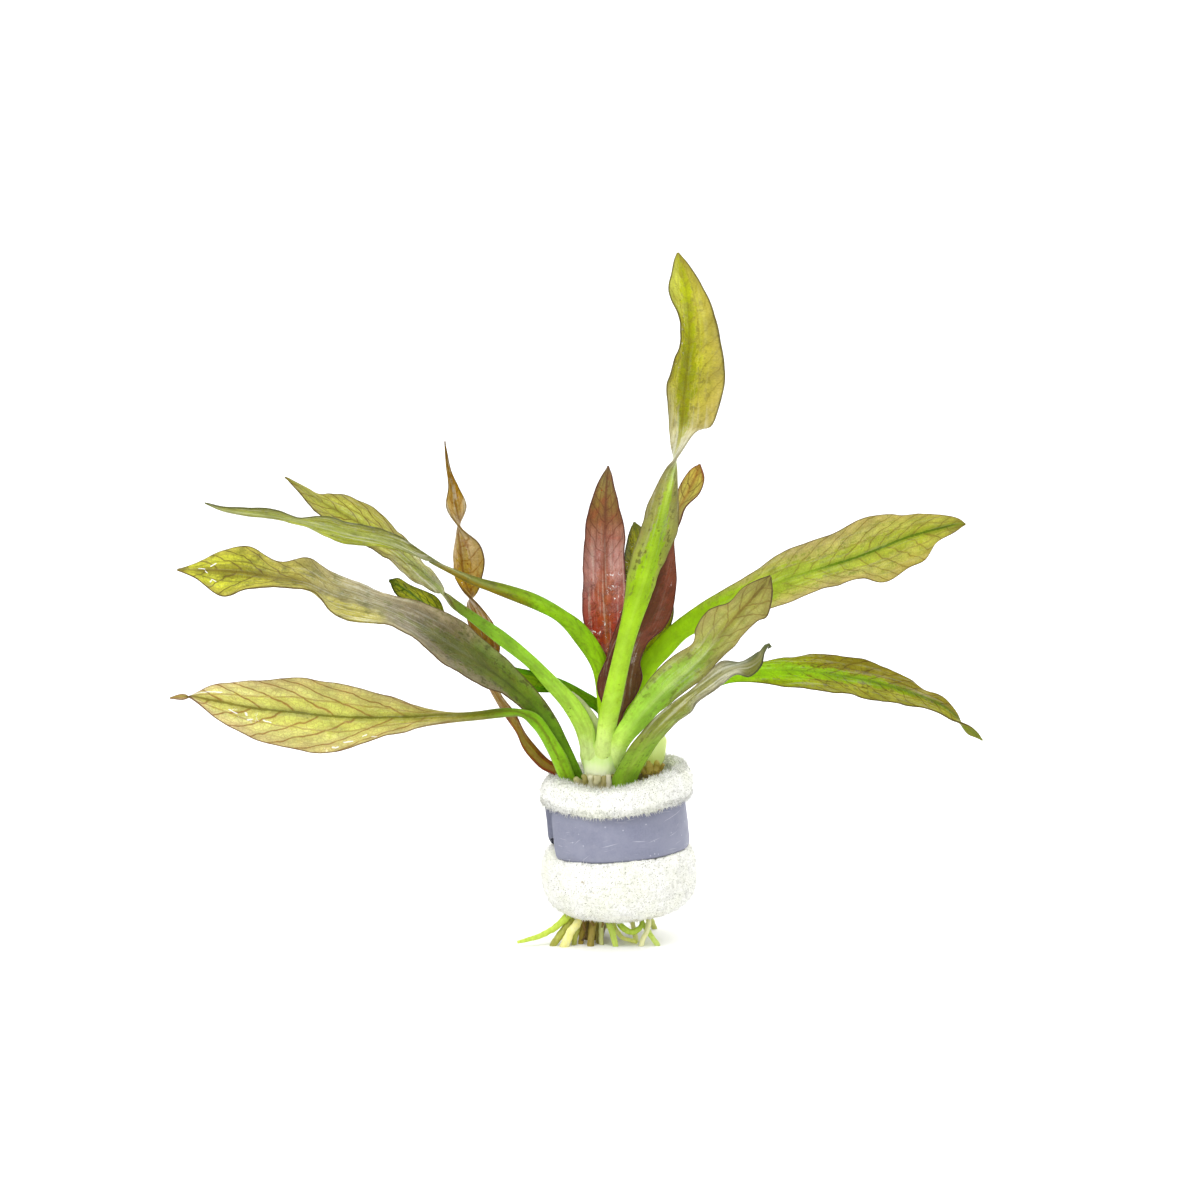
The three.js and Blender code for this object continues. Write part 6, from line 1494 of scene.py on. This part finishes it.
def foam_surface():
    """Rings of the foam's rounded profile at every angle, with the outward way at each point."""
    rows = np.asarray(FOAM_PROFILE, float)
    places = []
    for i in range(len(rows)):
        length = np.linalg.norm(rows[(i + 1) % len(rows), :2] - rows[i, :2])
        spacing = FOAM_COARSE if i in FOAM_HIDDEN_ROWS else FOAM_FINE
        count = max(int(length / spacing), 2)
        places.extend(i + np.arange(count) / count)
    t = np.array(places)
    values = through(rows, t, closed=True)
    radius, height = values[:, 0], values[:, 1]
    groove = (radius < GROOVE_RADIUS) & (height > GROOVE_BOTTOM) & (height < GROOVE_TOP) & (t > 5) & (t < 10)
    values[groove, 0] = FOAM_WAIST_RADIUS
    tangent = np.roll(values, -1, axis=0) - np.roll(values, 1, axis=0)
    out_r, out_z = tangent[:, 1], -tangent[:, 0]
    size = np.maximum(np.hypot(out_r, out_z), 1e-9)
    out_r, out_z = out_r / size, out_z / size
    angle = circle(FOAM_AROUND)
    cosine, sine = np.cos(angle)[:, None], np.sin(angle)[:, None]
    rise = RIM_RISE_RIGHT * smooth(np.cos(angle), -0.3, 0.95) + RIM_RISE_BACK * np.maximum(np.sin(angle), 0)
    rise -= RIM_DIP_FRONT * np.maximum(-np.sin(angle), 0) ** 2

    # The rim is slimmer on the right, most of all at its lip.
    right = smooth(np.cos(angle), 0.3, 1)[:, None]
    slim = 1 - 0.035 * right * (smooth(t, 8, 9.5) - smooth(t, 11.5, 14))[None, :]
    slim -= 0.03 * right * (smooth(t, 8.6, 9.6) - smooth(t, 10.2, 11.4))[None, :]
    points = np.stack([FOAM_AXIS_X + cosine * values[:, 0] * slim, sine * values[:, 0] * slim,
                       values[:, 1] + rise[:, None] * values[:, 2]], axis=-1)
    outward = np.stack([cosine * out_r, sine * out_r, np.broadcast_to(out_z, slim.shape)], axis=-1)

    # The foam below swells up to the strip's lower edge.
    _, shoulder, lift = FOAM_PROFILE[SHOULDER_ROW]
    reach = strip_foot(angle) - STRIP_FOOT_GAP - (shoulder + rise * lift)
    evened = np.convolve(np.tile(reach, 3), np.ones(SWELL_EVENED) / SWELL_EVENED, "same")
    reach = evened[FOAM_AROUND:2 * FOAM_AROUND]
    share = np.clip(1 - np.abs(t - SHOULDER_ROW) / SWELL_ROWS, 0, 1)
    points[:, :, 2] += np.maximum(reach, 0)[:, None] * (share * share * (3 - 2 * share))[None, :]
    return t, angle, points, outward


def foam_piece():
    """The foam: soft lumps, torn cells and thousands of fine tufts, with a seam at the back."""
    t, angle, points, outward = foam_surface()
    flat, out_flat = points.reshape(-1, 3), outward.reshape(-1, 3)
    lift = lumps(flat, FOAM_LUMPS)
    pores = np.array([noise.voronoi(Vector(p) * PORE_SCALE)[0][0] for p in flat])
    lift += 0.1 - PORE_DEPTH * (1 - smooth(pores, *PORE_SIZE))
    seam = (np.repeat(angle, len(t)) - math.pi / 2) * SEAM_RADIUS / SEAM_WIDTH
    lift -= SEAM_DEPTH * np.exp(-seam ** 2)
    visible = ~np.isin(np.floor(np.tile(t, FOAM_AROUND)).astype(int), FOAM_WAIST_ROWS)
    moved = flat + out_flat * (lift * visible)[:, None]
    rings = len(t)
    faces = []
    for i in range(FOAM_AROUND):
        k = (i + 1) % FOAM_AROUND
        for j in range(rings):
            m = (j + 1) % rings
            faces.append((i * rings + j, k * rings + j, k * rings + m, i * rings + m))

    # Tufts are slim closed spikes. Those of the lip hang over the strip.
    draw = random.Random(FOAM_SEED)
    extra = []
    spots = []
    for count, stretches, shortest, longest, droop in FOAM_TUFTS:
        among = [j for j in range(rings) if any(low < t[j] < high for low, high in stretches)]
        for _ in range(count):
            index = draw.randrange(FOAM_AROUND) * rings + draw.choice(among)
            spots.append((index, draw.uniform(shortest, longest), droop))
    for index, length, droop in spots:
        foot = moved[index]
        x, y, z = (draw.gauss(0, TUFT_SPREAD) for _ in range(3))
        way = out_flat[index] + np.array([x, y, z - droop])
        way = way / np.linalg.norm(way)
        side = unit(np.cross(way, np.array([0.3, 0.5, 0.8])))
        deep = np.cross(way, side)
        width = draw.uniform(*TUFT_WIDTH)
        first = len(moved) + len(extra)
        for a in (k * 2 * math.pi / 3 for k in range(3)):
            extra.append(foot - way * TUFT_ROOT + (side * math.cos(a) + deep * math.sin(a)) * width)
        extra.append(foot + way * length)
        faces.extend(tuple(first + k for k in face) for face in ((0, 1, 3), (1, 2, 3), (2, 0, 3), (2, 1, 0)))
    piece = make_object("foam_roll", np.vstack([moved, extra]), faces)
    dress(piece, foam_material(), "foam", "foam_sleeve")


def strip_material():
    """Soft dull metal with a lilac cast, rubbed patches and long light scratches, and painted shade on the
    inner end, round the front, near the outer end and towards the top.
    """
    g = Graph("strip_skin")
    where = g.place_mm()
    turn, height, _ = g.uv("strip")
    lane = g.join(turn * 0.12, height * 0.22, 3)
    colour = g.mix(g.step(g.noise(lane, 1, 3, 0.5), 0.35, 0.65), "#777A8E", "#84879A")
    cloud = g.step(g.noise(where, 0.5, 4, 0.65), 0.4, 0.7, 0, 0.5)
    colour = g.mix(cloud, colour, "#9093A3")
    # Painted shade: darker near the outer end and in a band round the front.
    colour = g.mix(g.step(turn, 12, 1, 0, 0.3), colour, "#666A80")
    colour = g.mix(g.step(abs(turn - 24), 10, 2, 0, 0.35), colour, "#6C7086")
    fine = g.step(g.noise(where, 2.4, 4, 0.7), 0.35, 0.65, 0, 0.3)
    colour = g.mix(fine, colour, "#8D90A2")
    # Painted shade: darker towards the top edge.
    colour = g.mix(g.step(height, 7.5, 11.4, 0, 0.3), colour, "#6C6F84")
    scratches = None
    for tilt, scale, limit in ((0.2, 1, 0.68), (0.62, 1.3, 0.72), (-0.1, 1.2, 0.69)):
        c, s = math.cos(tilt), math.sin(tilt)
        long_way = turn * c + height * s
        short_way = height * c - turn * s
        lane = g.join(long_way * 0.1, short_way * 2.6, tilt * 50)
        line = g.step(g.noise(lane, scale, 2), limit, limit + 0.04, 0, 0.5)
        scratches = line if scratches is None else g.highest(scratches, line)
    colour = g.mix(scratches, colour, "#C4C7D4")
    nicks = g.step(g.cells(where, 0.55)[0], 0.13, 0.04, 0, 0.6)
    colour = g.mix(nicks, colour, "#C4C8D6")
    # Painted shade: much darker from 82 mm on, over the inner end of the lap.
    colour = g.mix(g.step(turn, 82, 88, 0, 0.85), colour, "#4A4F66")
    rim = g.maths("MINIMUM", height, STRIP_WIDTH - height)
    colour = g.mix(g.step(rim, 0.35, 0.05, 0, 0.45), colour, "#5C6074")
    relief = g.noise(where, 0.9, 4) + scratches * -0.4
    return g.finish(colour, g.bump(relief, 0.35, 0.2), g.step(cloud, 0, 0.5, 0.55, 0.66),
                    **{"Metallic": 0.2})


def strip_piece():
    """The strip: one turn and a lap, softly dented, with rounded corners at both ends."""
    turned = np.linspace(STRIP_TRIM_DEG, STRIP_SWEEP_DEG, STRIP_STEPS)
    height = np.linspace(0, 1, STRIP_ROWS)
    angle = np.radians(STRIP_START_DEG + turned)
    tuck = smooth(turned, STRIP_TUCK_FROM_DEG, STRIP_TUCK_TO_DEG)
    mid_radius = STRIP_MID_RADIUS - STRIP_TUCK * tuck
    flare = STRIP_FLARE * (1 - tuck)
    run = turned * math.pi / 180 * STRIP_MID_RADIUS
    end_turn = np.minimum(turned - STRIP_TRIM_DEG, STRIP_SWEEP_DEG - turned)
    inside = np.clip(end_turn * math.pi / 180 * STRIP_MID_RADIUS / STRIP_CORNER, 0, 1)
    corner = STRIP_CORNER * (1 - np.sqrt(1 - (1 - inside) ** 2))
    low = STRIP_BOTTOM_Z + STRIP_RISE_PER_TURN * turned / 360
    lifted = STRIP_LIFT * smooth(turned, STRIP_LIFT_FROM_DEG, STRIP_LIFT_TO_DEG)
    bottom, top = low + corner + lifted, low + STRIP_WIDTH - corner
    c, s = math.cos(STRIP_TILT), math.sin(STRIP_TILT)

    def sheet(offset):
        z = bottom[:, None] + (top - bottom)[:, None] * height
        radius = (mid_radius + offset)[:, None] + flare[:, None] * (1 - 2 * height)
        up = z - STRIP_MID_Z
        x = radius * np.cos(angle)[:, None] - STRIP_LEAN * up
        y = radius * np.sin(angle)[:, None]
        return np.stack([STRIP_AXIS_X + x * c - up * s, y, STRIP_MID_Z + x * s + up * c], axis=-1)

    half = STRIP_THICKNESS / 2
    shape = half * np.sqrt(np.maximum(1 - (2 * height - 1) ** 8, 0.05))
    outer, inner = sheet(half), sheet(-half)
    middle = (outer + inner) / 2
    outer = middle + (outer - middle) * (shape / half)[None, :, None]
    inner = middle + (inner - middle) * (shape / half)[None, :, None]
    flat = middle.reshape(-1, 3)
    dent = lumps(flat, STRIP_DENTS).reshape(middle.shape[:2])
    push = unit(outer - inner) * dent[:, :, None]
    loop = np.concatenate([outer + push, (inner + push)[:, ::-1]], axis=1)
    n = loop.shape[1]
    faces = [(a, d, c, b) for a, b, c, d in side_faces(STRIP_STEPS, n)]
    last = (STRIP_STEPS - 1) * n
    for j in range(STRIP_ROWS - 1):
        faces.append((j, j + 1, n - 2 - j, n - 1 - j))
        faces.append((last + n - 1 - j, last + n - 2 - j, last + j + 1, last + j))
    up = np.concatenate([height, height[::-1]]) * STRIP_WIDTH
    flat_uv = [(run[index // n], up[index % n]) for face in faces for index in face]
    piece = make_object("strip_wrap", loop.reshape(-1, 3), faces, {"strip": flat_uv})
    dress(piece, strip_material(), "strip", "lead_strip")


def floor_piece():
    """A plain pale floor that curves up behind into a backdrop."""
    width, front, back, tall, bend = 2400, -1500, 900, 1600, 500
    curve = np.linspace(0.1, math.pi / 2, 16)
    profile = [(front, 0), (back - bend, 0)]
    profile += [(back - bend + bend * math.sin(a), bend - bend * math.cos(a)) for a in curve]
    profile.append((back, tall))
    points = [(x, y, z) for y, z in profile for x in (-width, width)]
    faces = [(2 * i, 2 * i + 1, 2 * i + 3, 2 * i + 2) for i in range(len(profile) - 1)]
    floor = make_object("floor", points, faces)
    g = Graph("floor_paint")
    shade = g.ramp(g.noise(g.place_mm(), 0.004, 2), "0.3 #FBFBFA 0.7 #FEFEFE")
    floor.data.materials.append(g.finish(shade, g.bump(g.noise(g.place_mm(), 0.8, 2), 0.02, 0.1), 0.8))


def soft_light(name, place, target, size, power):
    data = bpy.data.lights.new(name, "AREA")
    data.size = size * MM
    data.energy = power
    lamp = add_object(name, data)
    lamp.location = Vector(place) * MM
    lamp.rotation_euler = (Vector(target) - Vector(place)).to_track_quat("-Z", "Y").to_euler()


def studio():
    world = bpy.data.worlds.new("studio")
    world.use_nodes = True
    sky = world.node_tree.nodes["Background"]
    sky.inputs["Color"].default_value = (1, 1, 1, 1)
    sky.inputs["Strength"].default_value = SKY_STRENGTH
    bpy.context.scene.world = world
    for light in LIGHTS:
        soft_light(*light)
    bpy.context.scene.view_settings.view_transform = "Standard"


def camera():
    data = bpy.data.cameras.new("eye")
    data.sensor_width = SENSOR_WIDTH
    data.lens = SENSOR_WIDTH * EYE_DISTANCE * PIXELS_PER_MM / FRAME_PIXELS
    data.clip_start = 0.01
    eye = add_object("eye", data)
    back = Vector((0, -math.cos(EYE_ELEVATION), math.sin(EYE_ELEVATION)))
    eye.location = (Vector(EYE_TARGET) + back * EYE_DISTANCE) * MM
    eye.rotation_euler = (-back).to_track_quat("-Z", "Y").to_euler()
    bpy.context.scene.camera = eye


camera()
studio()
floor_piece()
for number, leaf_name in enumerate(LEAVES):
    leaf_piece(leaf_name, number + 1)
trunk_piece("root_stock", "stock", "root_stock", 1, 20, 34, "#7A6230", "#9A8448", "#5A4420")
trunk_piece("crown_main", "bulb_main", "crown", 2, 37, 46, "#FFFFEA", "#B6EA68", "#F8FFDC")
trunk_piece("crown_right", "bulb_right", "crown", 4, 36.5, 40, "#C0B04C", "#DCF2A0", "#F0F6CC")
for number, root_name in enumerate(ROOTS):
    root_piece(root_name, number + ROOT_SEED)
scraps("stub", 70)
scraps("shred", 90)
foam_piece()
strip_piece()
